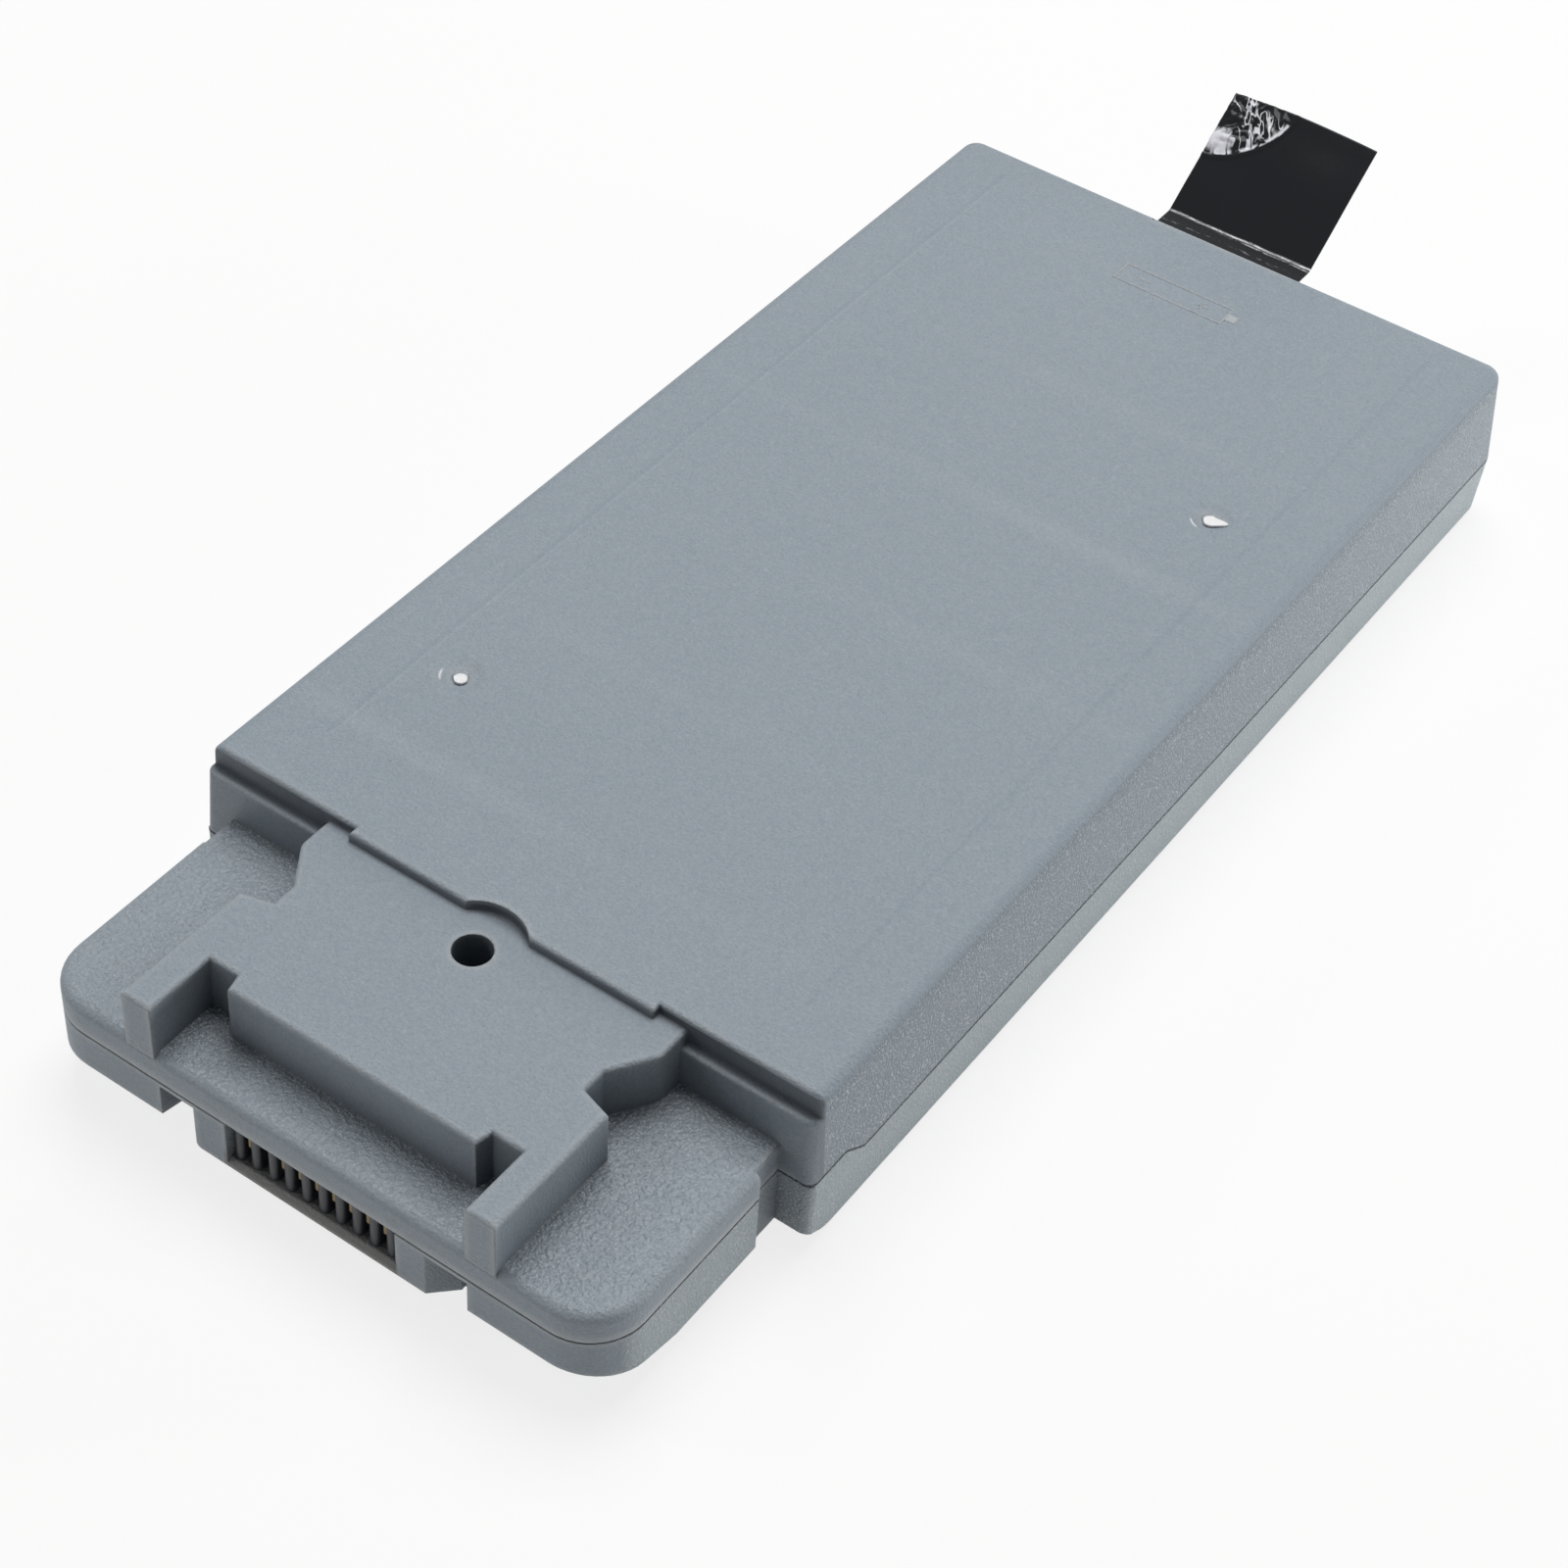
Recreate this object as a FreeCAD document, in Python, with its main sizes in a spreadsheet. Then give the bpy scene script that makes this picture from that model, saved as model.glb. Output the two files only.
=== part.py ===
# A slim battery pack for a portable computer, in millimetres.
# The origin is on the flat underside, at the middle of the main body.
# +Y runs from the socket end to the pull tab end, +X is to the right, +Z is up.
import FreeCAD, Part
import math
import os
import re
import Sketcher

Vector = FreeCAD.Vector

# Driving dimensions
# Levels are heights above the underside. Places along the pack are measured from the front lip
# of the body: towards the back on the body, and forward on the tongue.
SIZES = {
    # room round the block of cells, which sets the case to 73.0 by 136.2 by 20.4
    "side_space": 8.75,
    "back_space": 4.0,
    "headroom": 0.1,
    # main body
    "side_draft": 0.66,
    "side_draft_under": 0.27,
    "back_draft": 1.64,
    "back_draft_under": 0.7,
    "front_draft": 0.3,
    "back_corner": 2.0,
    "front_corner": 1.0,
    "top_round": 1.3,
    "lip_round": 0.45,
    "bottom_round": 0.8,
    "underside_front_rise": 2.5,
    "underside_knee": 1.2,
    "underside_knee_level": 1.0,
    "underside_flat_start": 4.4,
    # ledge in front of the lip
    "ledge_depth": 1.15,
    "ledge_drop": 2.7,
    "ledge_round": 0.4,
    "middle_lip_forward": 1.0,
    "middle_lip_half": 17.9,
    # parting between the two shells, with a lapped joint behind a fine reveal
    "parting_rear": 7.6,
    "parting_front": 9.6,
    "parting_step_start": 4.1,
    "parting_step_end": 7.1,
    "parting_reveal": 0.2,
    "lap_height": 1.0,
    "lap_clearance": 0.1,
    # tongue
    "tongue_length": 28.0,
    "tongue_inset": 3.2,
    "tongue_corner": 6.0,
    "tongue_round": 1.0,
    "tongue_root": 5.2,
    "tongue_root_inset": 0.6,
    "floor_level": 13.0,
    "tongue_under": 2.4,
    "nose_under": 5.05,
    "slope_start": 17.2,
    # raised plateau with its two arms, half widths from the middle
    "plateau_drop": 1.1,
    "plateau_front": 21.8,
    "plateau_round": 0.45,
    "wing_half": 21.2,
    "wing_front": 4.0,
    "wing_round": 1.6,
    "neck_half": 18.15,
    "neck_back": 8.6,
    "neck_front": 11.2,
    "shoulder_front": 12.2,
    "arm_outer": 21.5,
    "arm_inner": 18.1,
    "pocket_back": 20.0,
    "pocket_inner": 14.8,
    "front_edge_half": 14.35,
    # round blind hole in the plateau, and the relief that the lip leaves round it
    "hole_radius": 2.0,
    "hole_forward": 4.6,
    "hole_depth": 7.0,
    "hole_boss_wall": 1.6,
    "hole_boss_floor": 1.2,
    "relief_radius": 5.2,
    # walls and inner ribs
    "side_wall": 1.8,
    "end_wall": 1.3,
    "skin": 1.0,
    "tongue_skin": 1.5,
    "plateau_bay_wall": 3.5,
    "rib_thickness": 1.2,
    "rib_space": 1.25,
    "rib_start": 8.0,
    "rib_back_gap": 5.0,
    "upper_rib_bottom": 12.0,
    "lower_rib_top": 7.0,
    "saddle_first": 11.2,
    "saddle_last": 13.5,
    "saddle_height": 5.2,
    # socket housing in the nose of the tongue
    "housing_left": 13.7,
    "housing_right": 13.5,
    "housing_chamfer": 2.3,
    "housing_shoulder": 2.8,
    "housing_bottom": 3.5,
    "housing_depth": 7.0,
    "housing_bevel": 0.6,
    "socket_left": 9.9,
    "socket_right": 10.1,
    "socket_floor": 4.4,
    "socket_bevel": 0.5,
    "notch_depth": 3.6,
    "notch_top": 8.9,
    "notch_left": 17.8,
    "notch_right": 18.3,
    "notch_step": 17.1,
    # insulating comb and brass blades of the connector
    "comb_pitch": 2.0,
    "comb_rib_width": 1.15,
    "comb_rib_depth": 2.9,
    "comb_nose": 0.5,
    "comb_setback": 0.7,
    "comb_shift": 0.25,
    "comb_base_depth": 3.1,
    "comb_clearance": 0.15,
    "key_rib_width": 0.75,
    "blade_thickness": 0.35,
    "blade_height": 2.6,
    "blade_rise": 1.8,
    "blade_setback": 0.6,
    "blade_tail": 1.2,
    "blade_clearance": 0.05,
    # cells
    "cell_radius": 9.1,
    "cell_length": 64.8,
    "cell_spacing": 0.3,
    "cell_front": 2.4,
    "cell_cap_radius": 3.4,
    "cell_cap_height": 0.7,
    "cell_shoulder": 1.0,
    "cell_clearance": 0.2,
    "ring_radius": 7.6,
    "ring_hole": 4.0,
    "ring_thickness": 0.25,
    # nickel strips and insulating cards
    "strip_thickness": 0.2,
    "strip_height": 8.0,
    "strip_inset": 3.75,
    "strip_tab_width": 10.0,
    "strip_tab_length": 2.5,
    "lead_height": 2.5,
    "lead_level": 8.8,
    "lead_thickness": 0.3,
    "lead_overlap": 10.0,
    "card_thickness": 0.25,
    "card_inset": 0.75,
    "card_gap": 0.05,
    "card_edge": 0.5,
    # circuit board
    "board_side_gap": 1.5,
    "board_back": 2.0,
    "board_depth": 19.0,
    "board_thickness": 1.0,
    "board_gap": 0.15,
    "board_rest_offset": 25.0,
    # parts on the board: places across the pack and forward of the lip
    "chip_side": 7.0,
    "chip_height": 0.9,
    "chip_left": 9.0,
    "chip_forward": 14.0,
    "mosfet_width": 5.0,
    "mosfet_depth": 6.0,
    "mosfet_height": 1.1,
    "mosfet_right": 4.5,
    "mosfet_pitch": 6.5,
    "mosfet_forward": 14.0,
    "fuse_length": 8.0,
    "fuse_width": 3.2,
    "fuse_height": 2.2,
    "fuse_left": 10.0,
    "fuse_forward": 6.0,
    "shunt_length": 6.4,
    "shunt_width": 3.2,
    "shunt_height": 0.7,
    "shunt_right": 8.5,
    "shunt_forward": 7.5,
    "thermistor_length": 4.0,
    "thermistor_width": 2.0,
    "thermistor_height": 1.6,
    "thermistor_right": 12.0,
    "thermistor_forward": 3.6,
    # pull tab of film
    "tab_width": 19.0,
    "tab_shift": 0.5,
    "tab_thickness": 0.25,
    "tab_drop": 1.35,
    "tab_leg": 7.0,
    "tab_flat": 3.4,
    "tab_rise": 10.4,
    "tab_run": 13.4,
    "slit_clearance": 0.12,
    "slit_notch": 0.4,
    "slit_notch_length": 0.9,
    # moulding gate marks on the top face
    "gate_radius": 2.6,
    "gate_dish": 0.25,
    "gate_stub_radius": 1.0,
    "gate_left": 23.4,
    "gate_left_back": 22.2,
    "gate_right": 22.8,
    "gate_right_back": 90.5,
}

# How many there are of what repeats
CELLS_ACROSS = 3
CELLS_LONG = 2
SADDLES = 6
COMB_RIBS = 10
KEY_RIB = 2
MOSFETS = 2

# Sizes and places that follow from the driving dimensions, as expressions
CELL_PITCH = "(2 * cell_radius + cell_spacing)"
ROW_HALF = "(%d * %s / 2)" % (CELLS_ACROSS, CELL_PITCH)
ROW_PITCH = "(cell_length + strip_thickness)"
ROW_LENGTH = "(%d * %s - strip_thickness)" % (CELLS_LONG, ROW_PITCH)
BODY_HALF = "(%s + side_space)" % ROW_HALF
BODY_HEIGHT = "(2 * cell_radius + 2 * headroom + 2 * skin)"
BODY_LENGTH = "(cell_front + %s + back_space)" % ROW_LENGTH
LIP = "(-%s / 2)" % BODY_LENGTH
BACK = "(%s / 2)" % BODY_LENGTH
NOSE = "(%s - tongue_length)" % LIP
ROW_START = "(%s + cell_front)" % LIP
ROW_END = "(%s + %s)" % (ROW_START, ROW_LENGTH)
AXIS_LEVEL = "(%s / 2)" % BODY_HEIGHT
ROOF = "(%s - skin)" % BODY_HEIGHT
LEDGE_LEVEL = "(%s - ledge_drop)" % BODY_HEIGHT
PLATEAU_LEVEL = "(%s - plateau_drop)" % BODY_HEIGHT
TAB_LEVEL = "(%s - tab_drop)" % BODY_HEIGHT
TONGUE_HALF = "(%s - tongue_inset)" % BODY_HALF
RIB_OFFSET = "(%s + rib_space)" % ROW_HALF
SADDLE_PITCH = "((%s - saddle_first - saddle_last) / %d)" % (BODY_LENGTH, SADDLES - 1)
STRIP_HALF = "(%s - strip_inset)" % ROW_HALF
CARD_HALF = "(%s - card_inset)" % ROW_HALF
BOARD_HALF = "(%s - side_wall - board_side_gap)" % TONGUE_HALF
BOARD_LEVEL = "(parting_front + board_gap)"
BOARD_TOP = "(%s + board_thickness)" % BOARD_LEVEL
# Half the side of a cutting tool that reaches past the whole pack
FAR = 120
# How far a smaller tool reaches past the face it opens
OVERCUT = "1"
# How deep a rib or a raised part is rooted in what it grows from
ROOT = "0.5"
# Places nearer to each other than this are one place
TOUCH = 0.01

doc = FreeCAD.newDocument("battery_pack")
sheet = doc.addObject("Spreadsheet::Sheet", "Sizes")
for row, (alias, value) in enumerate(SIZES.items(), start=1):
    sheet.set("A%d" % row, str(value))
    sheet.setAlias("A%d" % row, alias)
doc.recompute()

finished = []


def bound(text):
    """Write an expression of size names as cells of the sheet."""
    return re.sub(r"[a-z][a-z_]+\b(?!\()", lambda word: "Sizes." + word.group(), str(text))


def number(text):
    """Work out an expression of size names."""
    return float(sheet.evalExpression(str(text)))


def finish(piece, name):
    """Name a finished piece and put it on the list to be written."""
    piece.Label = name
    finished.append(piece)


# Sketches

def tangent_point(corner, neighbour, radius):
    """Where a rounded corner's arc meets the side that leads to a neighbour."""
    place = []
    for here, there in zip(corner, neighbour):
        step = number(there) - number(here)
        sign = 0 if abs(step) < TOUCH else math.copysign(1, step)
        place.append("%s + %d * (%s)" % (here, sign, radius))
    return place


def fix_point(sketch, geometry, side, point):
    """Hold a point of a sketch at a place given by two expressions."""
    for kind, text in zip(("DistanceX", "DistanceY"), point):
        limit = sketch.addConstraint(Sketcher.Constraint(kind, -1, 1, geometry, side, number(text)))
        sketch.setExpression("Constraints[%d]" % limit, bound(text))


def fix_radius(sketch, geometry, radius):
    limit = sketch.addConstraint(Sketcher.Constraint("Radius", geometry, number(radius)))
    sketch.setExpression("Constraints[%d]" % limit, bound(radius))


def spot(point):
    return Vector(number(point[0]), number(point[1]), 0)


def draw_outline(sketch, corners):
    """A closed outline. A corner is (x, y), or (x, y, radius) where its sides follow the axes."""
    stops = []
    for index, corner in enumerate(corners):
        point = corner[:2]
        if len(corner) == 3:
            before = corners[index - 1][:2]
            after = corners[(index + 1) % len(corners)][:2]
            stops.append((tangent_point(point, before, corner[2]),
                          tangent_point(point, after, corner[2])))
        else:
            stops.append((point, point))
    for index, (enter, leave) in enumerate(stops):
        following = stops[(index + 1) % len(stops)][0]
        line = sketch.addGeometry(Part.LineSegment(spot(leave), spot(following)), False)
        fix_point(sketch, line, 1, leave)
        fix_point(sketch, line, 2, following)
    for index, corner in enumerate(corners):
        if len(corner) == 3:
            enter, leave = stops[index]
            draw_corner(sketch, corner, spot(enter), spot(leave), (index - 1) % len(stops), index)


def draw_corner(sketch, corner, enter, leave, line_before, line_after):
    """The arc of a rounded corner between two lines of the outline."""
    middle = spot(corner)
    centre = enter + leave - middle
    joins = [(1, line_before, 2), (2, line_after, 1)]
    if (middle - enter).cross(leave - middle).z < 0:
        enter, leave = leave, enter
        joins = [(2, line_before, 2), (1, line_after, 1)]
    angles = [math.atan2(point.y - centre.y, point.x - centre.x) for point in (enter, leave)]
    circle = Part.Circle(centre, Vector(0, 0, 1), number(corner[2]))
    arc = sketch.addGeometry(Part.ArcOfCircle(circle, *angles), False)
    for side, line, end in joins:
        sketch.addConstraint(Sketcher.Constraint("Coincident", arc, side, line, end))
    fix_radius(sketch, arc, corner[2])


def drawing(body, name, plane, offset, outlines=(), circles=()):
    """A sketch on one of the body's own planes, moved along that plane's normal."""
    sketch = body.newObject("Sketcher::SketchObject", body.Name + "_" + name)
    face = [item for item in body.Origin.OriginFeatures if item.Role == plane][0]
    sketch.AttachmentSupport = [(face, "")]
    sketch.MapMode = "FlatFace"
    sketch.setExpression("AttachmentOffset.Base.z", bound(offset))
    for corners in outlines:
        draw_outline(sketch, corners)
    for x, y, radius in circles:
        circle = Part.Circle(spot((x, y)), Vector(0, 0, 1), number(radius))
        ring = sketch.addGeometry(circle, False)
        fix_point(sketch, ring, 3, (x, y))
        fix_radius(sketch, ring, radius)
    doc.recompute()
    return sketch


def plan(body, name, height, *outlines, circles=()):
    return drawing(body, name, "XY_Plane", height, outlines, circles)


def profile(body, name, start, *outlines):
    """A side view, drawn with y and z, to be carried along +X."""
    return drawing(body, name, "YZ_Plane", start, outlines)


def end_view(body, name, start, *outlines):
    """A view on the front, drawn with x and z, to be carried from the back towards -Y."""
    return drawing(body, name, "XZ_Plane", start, outlines)


def rectangle(low, high):
    return [(low[0], low[1]), (high[0], low[1]), (high[0], high[1]), (low[0], high[1])]


def mirrored(points):
    """A right-hand outline followed by its mirror image across the middle."""
    return points + [("-(%s)" % x, y) for x, y in reversed(points)]


# Features of a body

def pad(body, sketch, length):
    feature = body.newObject("PartDesign::Pad", sketch.Name + "_pad")
    feature.Profile = sketch
    feature.setExpression("Length", bound(length))
    doc.recompute()
    check(feature)


def pocket(body, sketch, length, along=True):
    """Cut along the sketch's normal or against it, and make sure that something was cut."""
    feature = body.newObject("PartDesign::Pocket", sketch.Name + "_pocket")
    feature.Profile = sketch
    feature.Reversed = along
    feature.setExpression("Length", bound(length))
    doc.recompute()
    check(feature)
    if not feature.Shape.Volume < feature.BaseFeature.Shape.Volume - TOUCH:
        raise RuntimeError(feature.Name + " cuts nothing")


def repeat(body, length, count):
    """Repeat the last feature along +X, so that the copies span a length."""
    original = body.Tip
    pattern = body.newObject("PartDesign::LinearPattern", original.Name + "_row")
    pattern.Originals = [original]
    pattern.Direction = (original.Profile[0], ["H_Axis"])
    pattern.setExpression("Length", bound(length))
    pattern.Occurrences = count
    body.Tip = pattern
    doc.recompute()
    check(pattern)


def round_edges(body, name, radius, test):
    """Round each edge that passes a test of the edge and its middle point."""
    base = body.Tip
    chosen = []
    for index, edge in enumerate(base.Shape.Edges, start=1):
        middle = edge.valueAt((edge.FirstParameter + edge.LastParameter) / 2)
        if test(edge.BoundBox, middle):
            chosen.append("Edge%d" % index)
    if not chosen:
        raise RuntimeError(name + " finds no edge")
    feature = body.newObject("PartDesign::Fillet", body.Name + "_" + name)
    feature.Base = (base, chosen)
    feature.setExpression("Radius", bound(radius))
    doc.recompute()
    check(feature)


def check(feature):
    if "Invalid" in feature.State or "Error" in feature.State or feature.Shape.isNull():
        raise RuntimeError("%s fails: %s" % (feature.Name, feature.State))


def is_level(box, height):
    return max(abs(box.ZMin - number(height)), abs(box.ZMax - number(height))) < TOUCH


def is_upright(box):
    return box.ZLength > 3 * max(box.XLength, box.YLength)


# Shapes outside a body

def place(piece, corner):
    for axis, text in zip("xyz", corner):
        piece.setExpression("Placement.Base." + axis, bound(text))


def box(name, low, high):
    """A block between two corners."""
    piece = doc.addObject("Part::Box", name)
    for side, start, end in zip(("Length", "Width", "Height"), low, high):
        piece.setExpression(side, bound("(%s) - (%s)" % (end, start)))
    place(piece, low)
    return piece


def rod(name, radius, length, start, along_pack=False):
    piece = doc.addObject("Part::Cylinder", name)
    piece.setExpression("Radius", bound(radius))
    piece.setExpression("Height", bound(length))
    if along_pack:
        piece.Placement = FreeCAD.Placement(Vector(), FreeCAD.Rotation(Vector(1, 0, 0), -90))
    place(piece, start)
    return piece


def cut(name, base, tool):
    piece = doc.addObject("Part::Cut", name)
    piece.Base = base
    piece.Tool = tool
    return piece


def common(name, base, tool):
    piece = doc.addObject("Part::Common", name)
    piece.Base = base
    piece.Tool = tool
    return piece


def fuse(name, pieces):
    piece = doc.addObject("Part::MultiFuse", name)
    piece.Shapes = pieces
    return piece


# Case
# Two moulded shells meet at a stepped parting with a lapped joint. Each outside is a side view
# carried across and trimmed to its draft, with a tongue in front. Both are widest at the parting.

def trimmed_across(body, outline, half, sides):
    """A side view carried across the pack, cut back at both sides to a sloped line. The line is
    given by its two ends, each an inset from the half width and a height."""
    wide = "(%s + %s)" % (half, OVERCUT)
    pad(body, profile(body, "side", "-" + wide, outline), "2 * " + wide)
    trim_sides(body, "draft", half, sides)


def trim_sides(body, name, half, sides):
    """Cut away what lies outside a line, at both sides."""
    beyond = "(%s + 2 * %s)" % (half, OVERCUT)
    inner = [("%s - (%s)" % (half, inset), height) for inset, height in sides]
    outer = [(beyond, sides[-1][1]), (beyond, sides[0][1])]
    waste = inner + outer
    other_side = [("-(%s)" % x, z) for x, z in waste]
    pocket(body, end_view(body, name, -FAR, waste, other_side), 2 * FAR)


def upper_side():
    """The slope of the upper shell's long sides, carried on past both ends."""
    rise = "(%s - parting_rear)" % BODY_HEIGHT
    return [("0", "parting_rear"), ("2 * side_draft", "parting_rear + 2 * " + rise)]


def lower_side():
    """The slope of the lower shell's long sides, carried on past both ends."""
    return [("2 * side_draft_under", "-parting_rear"), ("-side_draft_under", "2 * parting_rear")]


def is_back_corner(box, middle):
    return is_upright(box) and middle.y > 0


def is_front_corner(box, middle):
    return is_upright(box) and middle.y < number(LIP) - TOUCH


def tongue_outline(inset, corner, back):
    """Plan of the tongue: its root is set in a little where it leaves the body."""
    half = "(%s - %s)" % (TONGUE_HALF, inset)
    root_half = "(%s - tongue_root_inset - %s)" % (TONGUE_HALF, inset)
    root = LIP + " - tongue_root - %s" % inset
    front = NOSE + " + %s" % inset
    return [("-" + root_half, back), ("-" + root_half, root), ("-" + half, root),
            ("-" + half, front, corner), (half, front, corner),
            (half, root), (root_half, root), (root_half, back)]


def upper_outside():
    """The outside of the upper shell as one solid."""
    body = doc.addObject("PartDesign::Body", "upper_outside")
    front = LIP + " - ledge_depth"
    trimmed_across(body, [
        (front + " - front_draft", "parting_front"), (LIP + " + parting_step_start", "parting_front"),
        (LIP + " + parting_step_end", "parting_rear"), (BACK, "parting_rear"),
        (BACK + " - back_draft", BODY_HEIGHT), (LIP, BODY_HEIGHT), (LIP, LEDGE_LEVEL),
        (front, LEDGE_LEVEL)], BODY_HALF, upper_side())
    lip = number(LIP)
    round_edges(body, "back_corner", "back_corner", is_back_corner)
    round_edges(body, "front_corner", "front_corner", is_front_corner)
    round_edges(body, "top_round", "top_round",
                lambda box, middle: is_level(box, BODY_HEIGHT) and middle.y > lip + TOUCH)
    round_edges(body, "ledge_round", "ledge_round",
                lambda box, middle: is_level(box, LEDGE_LEVEL) and middle.y < lip - TOUCH)
    tongue = plan(body, "tongue", "parting_front",
                  tongue_outline(0, "tongue_corner", LIP + " + end_wall"))
    pad(body, tongue, "floor_level - parting_front")
    root = number(LIP + " - tongue_root")
    round_edges(body, "tongue_round", "tongue_round",
                lambda box, middle: is_level(box, "floor_level") and middle.y < root - TOUCH)
    add_plateau(body)
    return body


def add_plateau(body):
    """The raised plateau, its arms, the middle of the lip and the round relief."""
    lip = number(LIP)
    right_side = [
        ("wing_half", LIP + " + end_wall"),
        ("wing_half", LIP + " - wing_front"),
        ("neck_half", LIP + " - neck_back"),
        ("neck_half", LIP + " - neck_front"),
        ("arm_outer", LIP + " - shoulder_front"),
        ("arm_outer", NOSE),
        ("arm_inner", NOSE),
        ("arm_inner", LIP + " - pocket_back"),
        ("pocket_inner", LIP + " - pocket_back"),
        ("front_edge_half", LIP + " - plateau_front"),
    ]
    base = "(floor_level - %s)" % ROOT
    plateau = plan(body, "plateau", base, mirrored(right_side))
    pad(body, plateau, PLATEAU_LEVEL + " - " + base)
    wing = number("wing_half")
    wing_end = number(LIP + " - wing_front")
    round_edges(body, "wing_round", "wing_round",
                lambda box, middle: is_upright(box) and abs(abs(middle.x) - wing) < TOUCH
                and abs(middle.y - wing_end) < TOUCH)
    round_edges(body, "plateau_round", "plateau_round",
                lambda box, middle: is_level(box, PLATEAU_LEVEL) and middle.y < lip - TOUCH)
    middle_lip = plan(body, "middle_lip", base, rectangle(
        ("-middle_lip_half", LIP + " - middle_lip_forward"), ("middle_lip_half", LIP + " + end_wall")))
    pad(body, middle_lip, BODY_HEIGHT + " - " + base)
    relief = plan(body, "relief", PLATEAU_LEVEL, circles=[(0, LIP + " - hole_forward", "relief_radius")])
    pocket(body, relief, BODY_HEIGHT)
    round_edges(body, "lip_round", "lip_round",
                lambda box, middle: is_level(box, BODY_HEIGHT) and middle.y < lip + TOUCH)


def lower_outside():
    """The outside of the lower shell as one solid."""
    body = doc.addObject("PartDesign::Body", "lower_outside")
    front = LIP + " - ledge_depth - front_draft"
    rear_top = "(parting_rear - parting_reveal)"
    front_top = "(parting_front - parting_reveal)"
    trimmed_across(body, [
        (front, "underside_front_rise"), (LIP + " + underside_knee", "underside_knee_level"),
        (LIP + " + underside_flat_start", 0), (BACK + " - back_draft_under", 0),
        (BACK + " - back_draft_under * parting_reveal / parting_rear", rear_top),
        (LIP + " + parting_step_end", rear_top), (LIP + " + parting_step_start", front_top),
        (front, front_top)], BODY_HALF, lower_side())
    flat_start = number(LIP + " + underside_flat_start")
    round_edges(body, "back_corner", "back_corner", is_back_corner)
    round_edges(body, "front_corner", "front_corner", is_front_corner)
    round_edges(body, "bottom_round", "bottom_round",
                lambda box, middle: is_level(box, 0) and middle.y > flat_start + TOUCH)
    trim_sides(body, "front_trim", BODY_HALF, upper_side())
    floor = plan(body, "tongue", "tongue_under", tongue_outline(0, "tongue_corner", LIP + " + end_wall"))
    pad(body, floor, front_top + " - tongue_under")
    add_nose(body)
    return body


def add_nose(body):
    """The sloped underside of the tongue, the two notches and the socket housing."""
    slope = "(nose_under - tongue_under) / (tongue_length - slope_start)"
    beyond = "%s - %s" % (NOSE, OVERCUT)
    nose_slope = profile(body, "nose_slope", -FAR, [
        (LIP + " - slope_start", "tongue_under"), (beyond, "nose_under + %s * %s" % (OVERCUT, slope)),
        (beyond, -FAR), (LIP + " - slope_start", -FAR)])
    pocket(body, nose_slope, 2 * FAR)
    notch = plan(body, "notch", "notch_top",
                 rectangle(("-notch_left", beyond), ("notch_right", NOSE + " + notch_depth")))
    pocket(body, notch, "notch_top", along=False)
    shoulder = NOSE + " + housing_shoulder"
    housing_right_back = "(housing_right + housing_chamfer)"
    rear = NOSE + " + housing_depth"
    housing = plan(body, "housing", "housing_bottom", [
        ("-housing_left", rear), ("-housing_left", NOSE), ("housing_right", NOSE),
        (housing_right_back, NOSE + " + housing_chamfer"), (housing_right_back, shoulder),
        ("notch_step", shoulder), ("notch_step", rear)])
    pad(body, housing, "parting_front - parting_reveal - housing_bottom")
    left = -number("housing_left")
    round_edges(body, "housing_bevel", "housing_bevel",
                lambda box, middle: is_level(box, "housing_bottom") and middle.x < left + TOUCH)


def hollow_form():
    """The space inside the two shells."""
    body = doc.addObject("PartDesign::Body", "hollow")
    front = LIP + " + end_wall"
    back = "(%s - end_wall)" % BACK
    trimmed_across(body, [
        (front, "underside_knee_level + skin"), (LIP + " + underside_flat_start", "skin"),
        (back + " - back_draft_under", "skin"), (back, "parting_rear"),
        (back + " - back_draft", ROOF), (front, ROOF)], "(%s - side_wall)" % BODY_HALF, upper_side())
    trim_sides(body, "under_draft", "(%s - side_wall)" % BODY_HALF, lower_side())
    half = "(%s - side_wall)" % TONGUE_HALF
    bay_front = NOSE + " + side_wall"
    behind_lip = LIP + " + end_wall + " + ROOT
    tongue_bay = profile(body, "tongue_bay", "-" + half, [
        (bay_front, "nose_under + tongue_skin"),
        (LIP + " - slope_start", "tongue_under + tongue_skin"),
        (behind_lip, "tongue_under + tongue_skin"),
        (behind_lip, "floor_level - tongue_skin"),
        (bay_front, "floor_level - tongue_skin")])
    pad(body, tongue_bay, "2 * " + half)
    bay_start = number(bay_front)
    round_edges(body, "bay_corner", "tongue_corner - side_wall",
                lambda box, middle: is_upright(box) and abs(middle.y - bay_start) < TOUCH)
    block = plan(body, "housing_block", "parting_front", rectangle(
        ("-notch_left - tongue_skin", NOSE), ("notch_right + tongue_skin", NOSE + " + housing_depth")))
    pocket(body, block, "parting_front", along=False)
    bay_base = "(floor_level - 2 * tongue_skin)"
    bay_half = "(neck_half - side_wall)"
    plateau_bay = plan(body, "plateau_bay", bay_base, rectangle(
        ("-" + bay_half, LIP + " - plateau_front + plateau_bay_wall"), (bay_half, behind_lip)))
    pad(body, plateau_bay, PLATEAU_LEVEL + " - tongue_skin - " + bay_base)
    return body


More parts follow.
